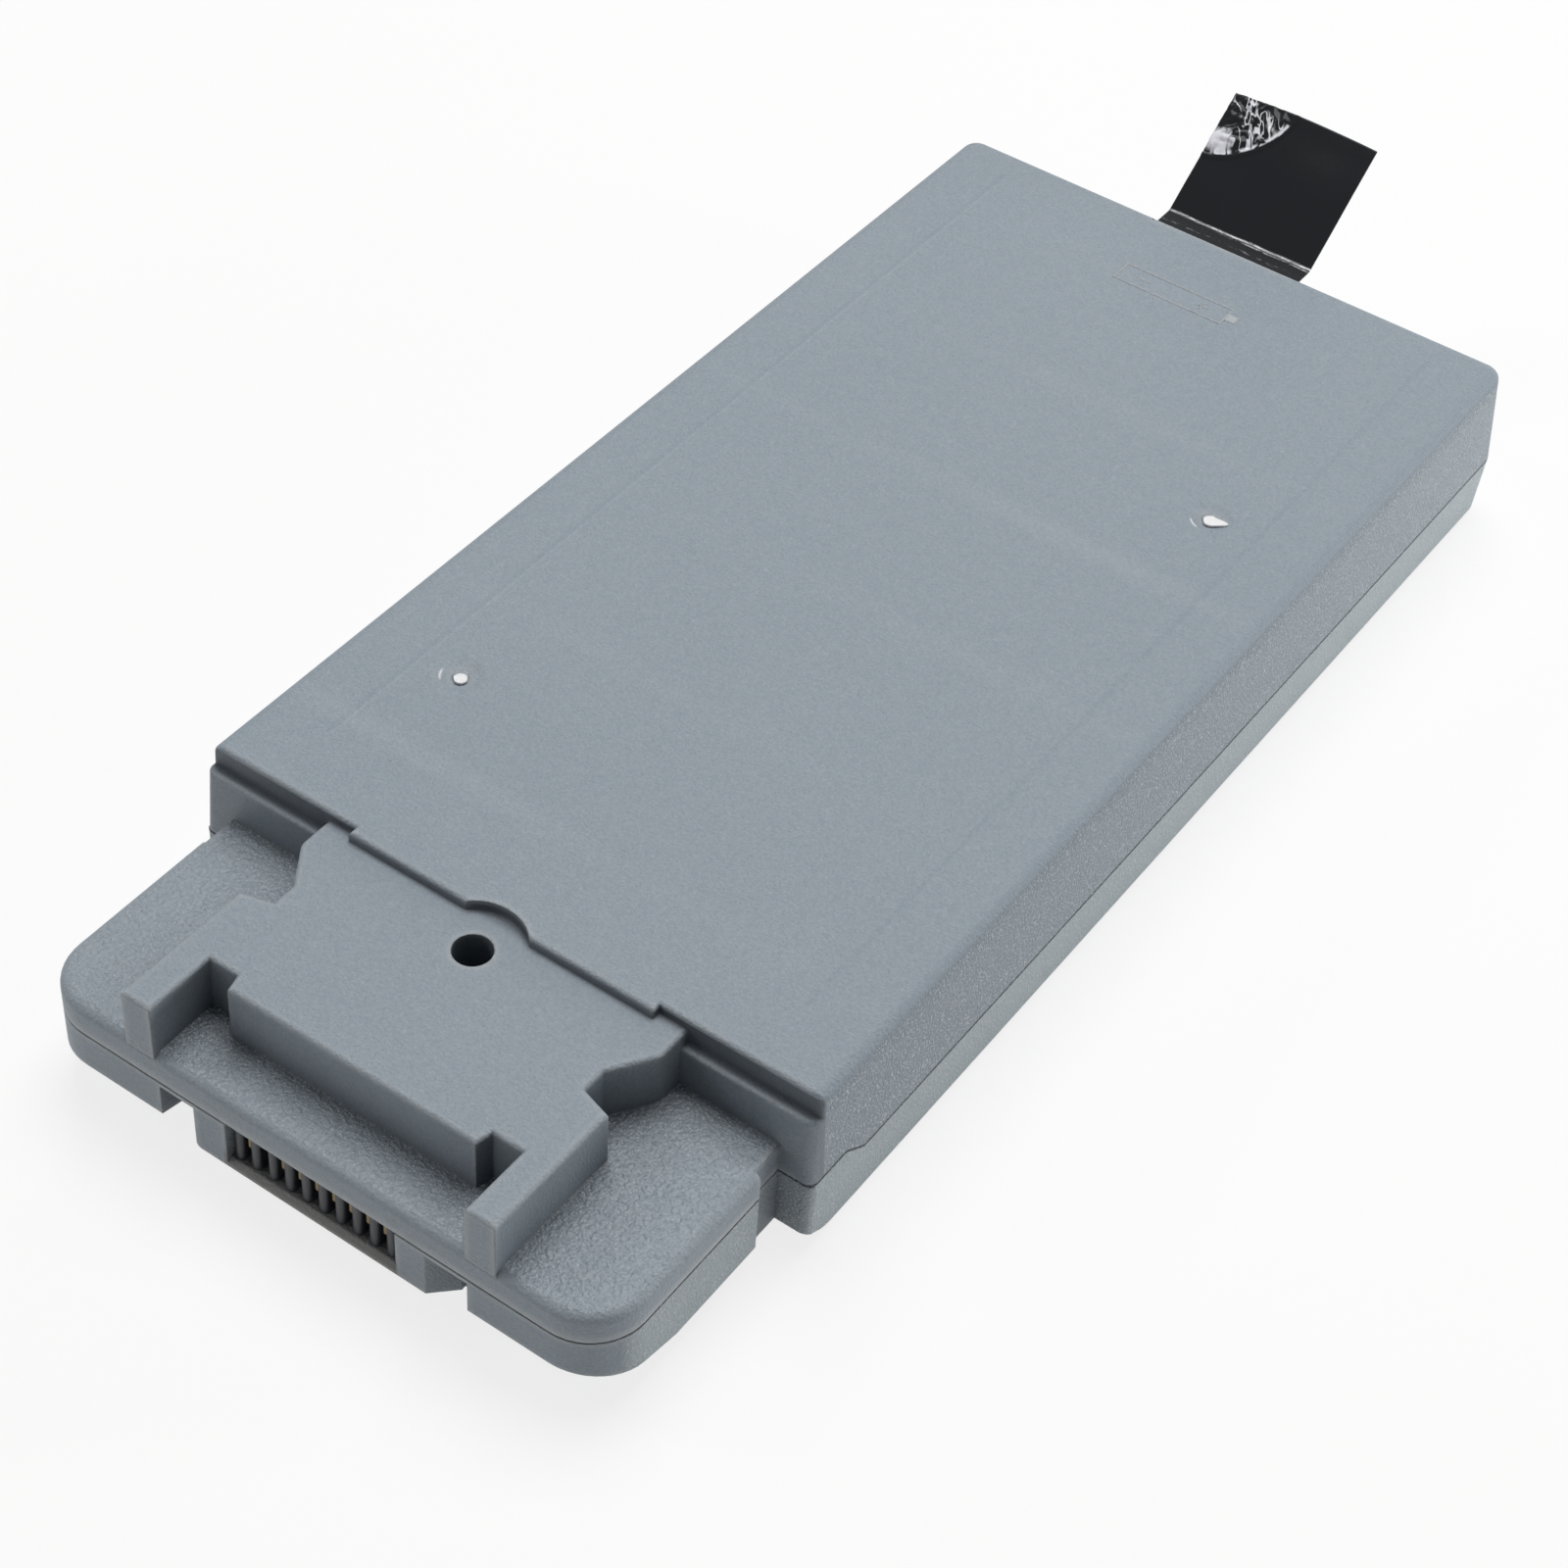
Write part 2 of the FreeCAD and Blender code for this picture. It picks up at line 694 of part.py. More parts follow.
def lap_form(name, clearance):
    """An upright form halfway into the walls: the face on which the shells lap."""
    body = doc.addObject("PartDesign::Body", name)
    inset = "(side_wall / 2 - %s)" % clearance
    end_inset = "(end_wall / 2 - %s)" % clearance
    half = "(%s - %s)" % (BODY_HALF, inset)
    front = LIP + " - ledge_depth + " + inset
    back = "%s - %s" % (BACK, end_inset)
    corner = "(back_corner - %s)" % inset
    block = plan(body, "block", "skin", [
        ("-" + half, front), (half, front), (half, back, corner), ("-" + half, back, corner)])
    pad(body, block, "parting_front + lap_height")
    tongue = plan(body, "tongue", "notch_top", tongue_outline(
        inset, "(tongue_corner - %s)" % inset, LIP + " + end_wall"))
    pad(body, tongue, "floor_level - notch_top - tongue_skin")
    return body


def below_parting(name, shift):
    """Everything under the stepped parting, which is lower behind the step at the front."""
    body = doc.addObject("PartDesign::Body", name)
    rear = "parting_rear + " + shift
    front = "parting_front + " + shift
    region = profile(body, "region", -FAR, [
        (-FAR, -FAR), (FAR, -FAR), (FAR, rear), (LIP + " + parting_step_end", rear),
        (LIP + " + parting_step_start", front), (-FAR, front)])
    pad(body, region, 2 * FAR)
    return body


def cell_places():
    """Each cell's number, its offset across the pack and the place of its front end."""
    for index in range(CELLS_ACROSS * CELLS_LONG):
        column = index % CELLS_ACROSS - (CELLS_ACROSS - 1) / 2
        line = index // CELLS_ACROSS
        across = "%s * %s" % (column, CELL_PITCH)
        front = "%s + %d * %s" % (ROW_START, line, ROW_PITCH)
        yield index + 1, across, front


def cell_bores():
    """Round spaces along the pack that the cells lie in."""
    rods = []
    for column in range(CELLS_ACROSS):
        across = "%s * %s" % (column - (CELLS_ACROSS - 1) / 2, CELL_PITCH)
        rods.append(rod("bore_%d" % column, "cell_radius + cell_clearance", ROW_LENGTH,
                        (across, ROW_START + " + cell_cap_height", AXIS_LEVEL), along_pack=True))
    return fuse("cell_bores", rods)


def bay_ribs(name, low, high, saddle_low, saddle_high):
    """Two long ribs beside the cells, and the saddle ribs across between them."""
    ribs = []
    for side in (-1, 1):
        centre = "%d * %s" % (side, RIB_OFFSET)
        ribs.append(box("%s_side_%d" % (name, side + 1),
                        (centre + " - rib_thickness / 2", LIP + " + rib_start", low),
                        (centre + " + rib_thickness / 2", BACK + " - rib_back_gap", high)))
    for index in range(SADDLES):
        middle = "%s + saddle_first + %d * %s" % (LIP, index, SADDLE_PITCH)
        ribs.append(box("%s_saddle_%d" % (name, index),
                        ("-" + RIB_OFFSET, middle + " - rib_thickness / 2", saddle_low),
                        (RIB_OFFSET, middle + " + rib_thickness / 2", saddle_high)))
    return ribs


def gate_marks():
    """Dished rings on the top face and the broken stubs that stand in them."""
    dishes = []
    stubs = []
    marks = (("left", "-gate_left", "gate_left_back"), ("right", "gate_right", "gate_right_back"))
    for name, x, back in marks:
        dish = doc.addObject("Part::Cone", "gate_dish_" + name)
        dish.setExpression("Radius1", bound("gate_stub_radius"))
        dish.setExpression("Radius2", bound("gate_radius"))
        dish.setExpression("Height", bound("gate_dish"))
        place(dish, (x, LIP + " + " + back, BODY_HEIGHT + " - gate_dish"))
        dishes.append(dish)
        stub = doc.addObject("Part::Cone", "gate_stub_" + name)
        stub.setExpression("Radius1", bound("gate_stub_radius"))
        stub.setExpression("Radius2", bound("gate_stub_radius - gate_dish"))
        stub.setExpression("Height", bound("2 * gate_dish"))
        place(stub, (x, LIP + " + " + back, BODY_HEIGHT + " - 2 * gate_dish"))
        stubs.append(stub)
    return dishes, stubs


def slit_tools():
    """The slit that the pull tab leaves by, and the thin notch over it."""
    left = "-tab_width / 2 - tab_shift - slit_clearance"
    right = "tab_width / 2 - tab_shift + slit_clearance"
    beyond = BACK + " + " + OVERCUT
    slit = box("slit", (left, BACK + " - back_draft - 2 * end_wall", TAB_LEVEL + " - slit_clearance"),
               (right, beyond, TAB_LEVEL + " + tab_thickness + slit_clearance"))
    notch = box("slit_notch",
                (left, BACK + " - back_draft - slit_notch_length", BODY_HEIGHT + " - slit_notch"),
                (right, beyond, BODY_HEIGHT + " + " + OVERCUT))
    return [slit, notch]


def socket_space():
    """The space cut for the connector, with a bevel along its lower front edge."""
    body = doc.addObject("PartDesign::Body", "socket")
    beyond = "%s - %s" % (NOSE, OVERCUT)
    top = "parting_front + lap_height + " + OVERCUT
    side = profile(body, "side", "-socket_left", [
        (beyond, "socket_floor - socket_bevel - " + OVERCUT), (NOSE + " + socket_bevel", "socket_floor"),
        (NOSE + " + housing_depth + " + OVERCUT, "socket_floor"),
        (NOSE + " + housing_depth + " + OVERCUT, top), (beyond, top)])
    pad(body, side, "socket_left + socket_right")
    return body


def make_shells():
    hollow = hollow_form()
    bores = cell_bores()
    lap = common("lap", lap_form("lap_outline", "0"), below_parting("under_lap", "lap_height"))
    groove = common("lap_groove", lap_form("groove_outline", "lap_clearance"),
                    below_parting("under_groove", "lap_height"))
    make_lower_shell(hollow, bores, lap)
    make_upper_shell(hollow, bores, groove)


def make_lower_shell(hollow, bores, lap):
    lapped = fuse("lower_lapped", [lower_outside(), lap])
    open_shell = cut("lower_open", lapped, hollow)
    rests = [box("board_rest_%d" % (side + 1),
                 ("%d * board_rest_offset - rib_thickness / 2" % side,
                  LIP + " - board_back - board_depth", "tongue_under + tongue_skin - " + ROOT),
                 ("%d * board_rest_offset + rib_thickness / 2" % side,
                  LIP + " - board_back - board_depth / 2", BOARD_LEVEL))
             for side in (-1, 1)]
    rooted = "skin - " + ROOT
    ribs = bay_ribs("lower_rib", rooted, "lower_rib_top", rooted, "skin + saddle_height")
    ribbed = fuse("lower_ribbed", [open_shell] + ribs + rests)
    tools = fuse("lower_tools", [bores, socket_space()])
    finish(cut("lower_shell", ribbed, tools), "lower_shell")


def make_upper_shell(hollow, bores, groove):
    hole_y = LIP + " - hole_forward"
    hole_bottom = PLATEAU_LEVEL + " - hole_depth"
    open_shell = cut("upper_open", upper_outside(), fuse("upper_space", [groove, hollow]))
    rooted = "%s + %s" % (ROOF, ROOT)
    ribs = bay_ribs("upper_rib", "upper_rib_bottom", rooted, ROOF + " - saddle_height", rooted)
    boss = rod("hole_boss", "hole_radius + hole_boss_wall", "hole_depth + hole_boss_floor - " + ROOT,
               (0, hole_y, hole_bottom + " - hole_boss_floor"))
    dishes, stubs = gate_marks()
    ribbed = fuse("upper_ribbed", [open_shell, boss] + ribs)
    hole = rod("hole", "hole_radius", "hole_depth + " + OVERCUT, (0, hole_y, hole_bottom))
    tools = fuse("upper_tools", [bores, hole] + dishes + slit_tools())
    finish(fuse("upper_shell", [cut("upper_cut", ribbed, tools)] + stubs), "upper_shell")


# Connector

COMB_BACK = NOSE + " + comb_setback + comb_rib_depth + comb_base_depth"
COMB_FRONT = NOSE + " + comb_setback + comb_rib_depth"
COMB_MIDDLE = "((socket_right - socket_left) / 2 - comb_shift)"
BLADE_BASE = "(socket_floor + blade_rise)"


def blade_gaps():
    """The middle of each gap between ribs that holds a blade; the gap before the key rib is empty."""
    for index in range(COMB_RIBS - 1):
        if index != KEY_RIB - 1:
            yield "%s + %s * comb_pitch" % (COMB_MIDDLE, index + 1 - COMB_RIBS / 2)


def make_comb():
    """The insulating comb: a base across the socket with round-nosed ribs in front of it."""
    body = doc.addObject("PartDesign::Body", "comb")
    top = "parting_front - comb_clearance"
    base = plan(body, "base", "socket_floor", rectangle(
        ("-socket_left + comb_clearance", COMB_FRONT), ("socket_right - comb_clearance", COMB_BACK)))
    pad(body, base, top + " - socket_floor")
    first = "%s - %s * comb_pitch" % (COMB_MIDDLE, (COMB_RIBS - 1) / 2)
    left = first + " - comb_rib_width / 2"
    right = first + " + comb_rib_width / 2"
    nose = NOSE + " + comb_setback"
    rib = plan(body, "rib", "socket_floor", [
        (left, COMB_FRONT + " + comb_clearance"), (left, nose, "comb_nose"),
        (right, nose, "comb_nose"), (right, COMB_FRONT + " + comb_clearance")])
    pad(body, rib, top + " - socket_floor")
    repeat(body, "comb_pitch * %d" % (COMB_RIBS - 1), COMB_RIBS)
    key_left = first + " + %d * comb_pitch - comb_rib_width / 2" % KEY_RIB
    key = plan(body, "key", "socket_floor", rectangle(
        (key_left + " - comb_clearance", nose + " - " + OVERCUT),
        (key_left + " + comb_rib_width - key_rib_width", COMB_FRONT)))
    pocket(body, key, "parting_front")
    half = "(blade_thickness / 2 + blade_clearance)"
    slots = plan(body, "slots", BLADE_BASE + " - blade_clearance", *[
        rectangle((gap + " - " + half, COMB_FRONT + " - blade_clearance"),
                  (gap + " + " + half, COMB_BACK + " + blade_clearance"))
        for gap in blade_gaps()])
    pocket(body, slots, "blade_height + 2 * blade_clearance")
    finish(body, "connector_block")


def make_blades():
    """Brass blades that stand in the comb and turn up behind it to the board."""
    top = BLADE_BASE + " + blade_height"
    leg = COMB_BACK + " + blade_clearance"
    for index, gap in enumerate(blade_gaps(), start=1):
        body = doc.addObject("PartDesign::Body", "blade_%d" % index)
        side = profile(body, "side", gap + " - blade_thickness / 2", [
            (NOSE + " + comb_setback + blade_setback", BLADE_BASE), (leg + " + blade_tail", BLADE_BASE),
            (leg + " + blade_tail", BOARD_LEVEL), (leg, BOARD_LEVEL), (leg, top),
            (NOSE + " + comb_setback + blade_setback", top)])
        pad(body, side, "blade_thickness")
        finish(body, "contact_%d" % index)


# Cells and what joins them

def revolved(name, outline):
    """A round piece along the pack, from an outline of radius and length."""
    body = doc.addObject("PartDesign::Body", name)
    half = plan(body, "half", 0, outline)
    feature = body.newObject("PartDesign::Revolution", name + "_turned")
    feature.Profile = half
    feature.ReferenceAxis = (half, ["V_Axis"])
    feature.Angle = 360
    doc.recompute()
    check(feature)
    return body


def make_cells():
    for index, across, front in cell_places():
        cell = revolved("can_%d" % index, [
            (0, 0), ("cell_cap_radius", 0), ("cell_cap_radius", "cell_cap_height"),
            ("cell_radius - cell_shoulder", "cell_cap_height"),
            ("cell_radius", "cell_cap_height + cell_shoulder"),
            ("cell_radius", "cell_length"), (0, "cell_length")])
        place(cell, (across, front, AXIS_LEVEL))
        finish(cell, "cell_%d" % index)
        ring = revolved("washer_%d" % index, rectangle(
            ("ring_hole", "cell_cap_height - ring_thickness"), ("ring_radius", "cell_cap_height")))
        place(ring, (across, front, AXIS_LEVEL))
        finish(ring, "insulator_ring_%d" % index)


def strip_plate(body, front):
    """The flat part of a strip that is welded across the cell ends."""
    plate = plan(body, "plate", AXIS_LEVEL + " - strip_height / 2", rectangle(
        ("-" + STRIP_HALF, front), (STRIP_HALF, front + " + strip_thickness")))
    pad(body, plate, "strip_height")


def make_strips():
    """Front strip with a tab onto the board; middle and rear strips with a lead along one side."""
    front = doc.addObject("PartDesign::Body", "front_link")
    front_face = ROW_START + " - strip_thickness"
    strip_plate(front, front_face)
    tab = plan(front, "tab", BOARD_TOP, rectangle(
        ("-" + STRIP_HALF, LIP + " - board_back - strip_tab_length"),
        ("-%s + strip_tab_width" % STRIP_HALF, front_face + " + strip_thickness / 2")))
    pad(front, tab, "strip_thickness")
    finish(front, "front_strip")
    middle_face = ROW_START + " + cell_length"
    for name, face, side in (("middle", middle_face, "-"), ("rear", ROW_END, "")):
        body = doc.addObject("PartDesign::Body", name + "_link")
        strip_plate(body, face)
        inner = side + BOARD_HALF
        outer = "%s(%s + lead_thickness)" % (side, BOARD_HALF)
        end = "%s(%s - strip_tab_width)" % (side, STRIP_HALF)
        lead = plan(body, "lead", "lead_level", [
            (end, face), (end, face + " + strip_thickness"), (outer, face + " + strip_thickness"),
            (outer, LIP + " - lead_overlap"), (inner, LIP + " - lead_overlap"), (inner, face)])
        pad(body, lead, "lead_height")
        finish(body, name + "_strip")


def make_cards():
    """Insulating cards between the end strips and the case."""
    front_face = ROW_START + " - strip_thickness - card_gap"
    front_low = "floor_level - tongue_skin + card_edge"
    finish(box("front_sheet", ("-" + CARD_HALF, front_face + " - card_thickness", front_low),
               (CARD_HALF, front_face, ROOF + " - card_edge")), "front_card")
    rear_face = ROW_END + " + strip_thickness + card_gap"
    finish(box("rear_sheet", ("-" + CARD_HALF, rear_face, "skin + card_edge"),
               (CARD_HALF, rear_face + " + card_thickness", ROOF + " - card_edge")), "rear_card")


# Circuit board

def on_board(name, middle_x, forward, x_size, y_size, z_size):
    """A part that stands on the board, given its middle and the names of its sizes."""
    middle_y = LIP + " - " + forward
    finish(box(name + "_package",
               ("%s - %s / 2" % (middle_x, x_size), "%s - %s / 2" % (middle_y, y_size), BOARD_TOP),
               ("%s + %s / 2" % (middle_x, x_size), "%s + %s / 2" % (middle_y, y_size),
                "%s + %s" % (BOARD_TOP, z_size))), name)


def make_board():
    finish(box("laminate", ("-" + BOARD_HALF, LIP + " - board_back - board_depth", BOARD_LEVEL),
               (BOARD_HALF, LIP + " - board_back", BOARD_TOP)), "protection_board")
    on_board("controller_chip", "-chip_left", "chip_forward", "chip_side", "chip_side", "chip_height")
    for index in range(MOSFETS):
        on_board("mosfet_%d" % (index + 1), "mosfet_right + %d * mosfet_pitch" % index,
                 "mosfet_forward", "mosfet_width", "mosfet_depth", "mosfet_height")
    on_board("fuse", "-fuse_left", "fuse_forward", "fuse_length", "fuse_width", "fuse_height")
    on_board("shunt_resistor", "shunt_right", "shunt_forward",
             "shunt_length", "shunt_width", "shunt_height")
    on_board("thermistor", "thermistor_right", "thermistor_forward",
             "thermistor_length", "thermistor_width", "thermistor_height")


# Pull tab

def make_tab():
    """A film strip held behind the rear card, led out through the slit and bent up at a crease."""
    body = doc.addObject("PartDesign::Body", "film")
    leg = ROW_END + " + strip_thickness + 2 * card_gap + card_thickness"
    crease = BACK + " - back_draft + tab_flat"
    slant = "sqrt(tab_run * tab_run + tab_rise * tab_rise)"
    under = TAB_LEVEL
    over = "(%s + tab_thickness)" % TAB_LEVEL
    end_back = "tab_thickness * tab_rise / " + slant
    end_up = "tab_thickness * tab_run / " + slant
    crease_back = "tab_thickness * tab_rise / (%s + tab_run)" % slant
    side = profile(body, "side", "-tab_width / 2 - tab_shift", [
        (leg, under + " - tab_leg"), (leg + " + tab_thickness", under + " - tab_leg"),
        (leg + " + tab_thickness", under), (crease, under),
        (crease + " + tab_run", under + " + tab_rise"),
        (crease + " + tab_run - " + end_back, under + " + tab_rise + " + end_up),
        (crease + " - " + crease_back, over), (leg, over)])
    pad(body, side, "tab_width")
    finish(body, "pull_tab")


make_shells()
make_comb()
make_blades()
make_cells()
make_strips()
make_cards()
make_board()
make_tab()
doc.recompute()

faults = [item.Name for item in doc.Objects if "Invalid" in item.State or "Error" in item.State]
faults += [piece.Label for piece in finished if piece.Shape.isNull() or not piece.Shape.isValid()]
if faults:
    raise RuntimeError("not sound: " + ", ".join(faults))

os.makedirs("parts", exist_ok=True)
for piece in finished:
    piece.Shape.exportStep("parts/" + piece.Label + ".step")
    print("%s: %d solid, %.1f cubic mm" % (piece.Label, len(piece.Shape.Solids), piece.Shape.Volume))
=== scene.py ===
# %% [markdown]
# # A slim battery pack
# This lesson dresses a battery pack for a portable computer. The pack is a long grey case of two
# moulded shells with a stepped tongue at one end, a slotted socket in the nose of the tongue, and
# a black film tab for pulling it out. The solids come from the construction model as a fixed frame.
# Here they get their finishes, and the few pieces that solids can't show well are modelled anew.

# %% Load the frame
import math

import bmesh
import bpy
from mathutils import Matrix, Vector, noise


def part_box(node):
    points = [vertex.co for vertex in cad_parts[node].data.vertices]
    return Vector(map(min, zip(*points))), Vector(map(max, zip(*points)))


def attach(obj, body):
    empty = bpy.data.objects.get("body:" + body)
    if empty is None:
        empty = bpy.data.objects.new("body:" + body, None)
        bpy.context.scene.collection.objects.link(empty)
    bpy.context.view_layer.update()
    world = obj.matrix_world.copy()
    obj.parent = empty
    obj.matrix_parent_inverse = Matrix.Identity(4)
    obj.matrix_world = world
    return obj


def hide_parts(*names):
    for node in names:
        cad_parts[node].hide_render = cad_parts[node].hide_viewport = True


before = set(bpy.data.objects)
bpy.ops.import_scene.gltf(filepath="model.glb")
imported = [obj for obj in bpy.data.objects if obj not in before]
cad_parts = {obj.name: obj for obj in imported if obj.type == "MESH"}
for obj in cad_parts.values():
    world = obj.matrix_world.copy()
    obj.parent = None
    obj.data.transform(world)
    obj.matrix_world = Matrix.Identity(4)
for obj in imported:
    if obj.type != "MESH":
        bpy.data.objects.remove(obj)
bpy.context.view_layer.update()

MM = 0.001
UP = Vector((0, 0, 1))
scene = bpy.context.scene
scene.view_settings.view_transform = "Standard"
print("nodes in the frame:", len(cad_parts))

# %% [markdown]
# ## Places taken from the frame
# Every place on the case is measured from a few edges of the solids, so that a finish stays on the
# rib or the gate that it belongs to. The lip is where the long top face ends above the tongue.

# %% Edges of the case
shell_low, shell_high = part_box("upper_shell")
tab_low, tab_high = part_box("pull_tab")
NOSE = shell_low.y
BACK = shell_high.y
TOP = shell_high.z
TONGUE_LENGTH = 28.0 * MM
LIP = NOSE + TONGUE_LENGTH
print("body length in mm:", round((BACK - LIP) / MM, 2), "top at", round(TOP / MM, 2))

# %% [markdown]
# ## Camera
# The photograph looks down on the pack from the right of its socket end with a short telephoto
# lens. The lens, its place and its small roll were solved from the straight edges of the pack.

# %% Camera
PHOTO_SIDE = 1600
FOCAL_PIXELS = 3358.1
AXIS_ACROSS = 790.9
AXIS_DOWN = 767.8
SENSOR_WIDTH = 36
NEAR_LIMIT = 0.01
AZIMUTH = 32.42
ELEVATION = 44.31
ROLL = 4.34
CAMERA_PLACE = Vector((129.9, -228.4, 243.7)) * MM


def make_camera():
    data = bpy.data.cameras.new("camera")
    data.sensor_width = SENSOR_WIDTH
    data.lens = FOCAL_PIXELS / PHOTO_SIDE * data.sensor_width
    data.shift_x = 0.5 - AXIS_ACROSS / PHOTO_SIDE
    data.shift_y = AXIS_DOWN / PHOTO_SIDE - 0.5
    data.clip_start = NEAR_LIMIT
    camera = bpy.data.objects.new("camera", data)
    turn = Matrix.Rotation(math.radians(AZIMUTH), 4, "Z")
    tilt = Matrix.Rotation(math.radians(90 - ELEVATION), 4, "X")
    roll = Matrix.Rotation(math.radians(ROLL), 4, "Z")
    camera.matrix_world = Matrix.Translation(CAMERA_PLACE) @ turn @ tilt @ roll
    scene.collection.objects.link(camera)
    scene.camera = camera
    return camera


camera = make_camera()
print("lens in mm:", round(camera.data.lens, 1))

# %% [markdown]
# ## Writing a finish
# A finish is a small network of shader nodes. Wrapping each output in a class lets ordinary Python
# operators add the Math nodes, so a mask reads like the sum it is. Every other node comes from one
# method that takes its type, its settings and the values or links of its sockets.


# %% Values that add Math nodes
def feed(tree, value, socket):
    """Link an output to a socket, or set the socket to a plain value."""
    if isinstance(value, Value):
        tree.links.new(value.socket, socket)
    else:
        socket.default_value = value


class Value:
    """An output of a shader node, on which operators add Math nodes."""

    def __init__(self, tree, socket):
        self.tree = tree
        self.socket = socket

    def maths(self, operation, *terms):
        node = self.tree.nodes.new("ShaderNodeMath")
        node.operation = operation
        for socket, term in zip(node.inputs, terms):
            feed(self.tree, term, socket)
        return Value(self.tree, node.outputs[0])

    def __add__(self, other):
        return self.maths("ADD", self, other)

    __radd__ = __add__

    def __sub__(self, other):
        return self.maths("SUBTRACT", self, other)

    def __rsub__(self, other):
        return self.maths("SUBTRACT", other, self)

    def __mul__(self, other):
        return self.maths("MULTIPLY", self, other)

    __rmul__ = __mul__

    def __truediv__(self, other):
        return self.maths("DIVIDE", self, other)

    def __gt__(self, other):
        return self.maths("GREATER_THAN", self, other)

    def __lt__(self, other):
        return self.maths("LESS_THAN", self, other)

    def __abs__(self):
        return self.maths("ABSOLUTE", self)

    def power(self, exponent):
        return self.maths("POWER", self, exponent)

    def clamp(self):
        return self.maths("MINIMUM", self.maths("MAXIMUM", self, 0.0), 1.0)

    def above(self, start, gain):
        """Nothing up to a start, then rising with a gain until it reaches one."""
        return ((self - start) * gain).clamp()

    def past(self, start, run):
        """Nothing up to a start, then rising to one over a run."""
        return ((self - start) / run).clamp()

    def near(self, middle, reach):
        """One at a middle value, falling smoothly to nothing at a distance of reach."""
        fall = (1 - abs(self - middle) / reach).clamp()
        return fall * fall * (3 - 2 * fall)


print("values can be added, compared and clamped")


# %% A finish and its nodes
class Finish:
    """A material, with the methods that add its nodes."""

    def __init__(self, name, **sockets):
        self.material = bpy.data.materials.new(name)
        self.material.use_nodes = True
        self.tree = self.material.node_tree
        self.shader = self.tree.nodes["Principled BSDF"]
        for socket, value in sockets.items():
            self.set(socket.replace("_", " "), value)
        self.place = self.add("TexCoord", output="Object")
        parts = self.tree.nodes.new("ShaderNodeSeparateXYZ")
        feed(self.tree, self.place, parts.inputs[0])
        self.x, self.y, self.z = [Value(self.tree, output) for output in parts.outputs]

    def set(self, socket, value):
        feed(self.tree, value, self.shader.inputs[socket])

    def add(self, kind, settings=None, output=0, **sockets):
        node = self.tree.nodes.new("ShaderNode" + kind)
        for name, setting in (settings or {}).items():
            setattr(node, name, setting)
        for name, value in sockets.items():
            feed(self.tree, value, node.inputs[name.replace("_", " ")])
        return Value(self.tree, node.outputs[output])

    def grain(self, size, detail=2.0, roughness=0.5, stretch=None):
        """Noise with features of a size in metres, from 0 to 1, on the piece's own coordinates."""
        place = self.place
        if stretch:
            place = self.add("Mapping", Vector=place, Scale=stretch)
        return self.add("TexNoise", Vector=place, Scale=1 / size, Detail=detail,
                        Roughness=roughness)

    def mix(self, factor, first, second):
        """A blend of two colours, each a link or three numbers."""
        node = self.tree.nodes.new("ShaderNodeMix")
        node.data_type = "RGBA"
        feed(self.tree, factor, node.inputs[0])
        for socket, colour in zip((node.inputs[6], node.inputs[7]), (first, second)):
            feed(self.tree, colour if isinstance(colour, Value) else (*colour, 1.0), socket)
        return Value(self.tree, node.outputs[2])

    def bump(self, height, distance, under=None):
        node = self.tree.nodes.new("ShaderNodeBump")
        feed(self.tree, height, node.inputs["Height"])
        node.inputs["Distance"].default_value = distance
        if under:
            feed(self.tree, under, node.inputs["Normal"])
        return Value(self.tree, node.outputs[0])

    def soft_edges(self, radius):
        """The normal of edges broken by a fine radius, as a mould leaves them."""
        return self.add("Bevel", {"samples": 4}, Radius=radius)

    def closeness(self, reach, inside=False):
        """How much of the piece's own surface stands close: in its inner corners, or behind its
        outer edges when it looks inside."""
        settings = {"samples": 6, "only_local": True, "inside": inside}
        return 1 - self.add("AmbientOcclusion", settings, output="AO", Distance=reach)


print("finishes can be written")

# %% [markdown]
# ## Moulded case plastic
# The shells are moulded in a blue-grey plastic whose mould was spark-eroded, which leaves a fine
# pebbled grain. Bump carries it, because it is far finer than any mesh, and a few pale specks sit
# on it. Over the ribs inside, the plastic shrank as it cooled: a thin dark line runs along each
# side of the top, with a painted highlight beside one, and soft pale bands cross it. On the rim of
# each gate's dish, a white arc is a painted highlight.

# %% Marks on the top face
SIDE_RIB = 28.4 * MM
RIB_FROM = 8 * MM
RIB_TO = 6 * MM
LINE_REACH = 0.55 * MM
# Painted highlight beside the left sink line, on its inner side
LINE_HIGHLIGHT_OFFSET = 0.45 * MM
LINE_HIGHLIGHT_REACH = 0.22 * MM
LINE_HIGHLIGHT_SHARE = 1.3
SADDLE_FIRST = 11.2 * MM
SADDLE_PITCH = 22.3 * MM
# For each band, where across the top it is palest in mm, and how pale it is there
BANDS = ((-20, 0.9), (-14, 0.4), (14, 0.5), (14, 1.0), (6, 0.4), (0, 0.25))
BAND_REACH = 2.6 * MM
BAND_LENGTH = 30 * MM
BAND_FAR_SHARE = 0.25
GATES = {
    "left": Vector((-23.4 * MM, LIP + 22.2 * MM, TOP)),
    "right": Vector((22.8 * MM, LIP + 90.5 * MM, TOP)),
}
# Painted highlight on the rim of each gate's dish
GATE_HIGHLIGHT_RADIUS = 2.05 * MM
GATE_HIGHLIGHT_REACH = 0.22 * MM
GATE_HIGHLIGHT_TURNS = {"left": 210, "right": 236}
GATE_HIGHLIGHT_SHARE = 0.75


def sink_bands(finish):
    """The soft pale bands over the ribs that run across."""
    total = 0.0
    for index, (palest, strength) in enumerate(BANDS):
        middle = LIP + SADDLE_FIRST + index * SADDLE_PITCH
        near_palest = finish.x.near(palest * MM, BAND_LENGTH)
        across = BAND_FAR_SHARE + (1 - BAND_FAR_SHARE) * near_palest
        total = total + finish.y.near(middle, BAND_REACH) * across * strength
    return total


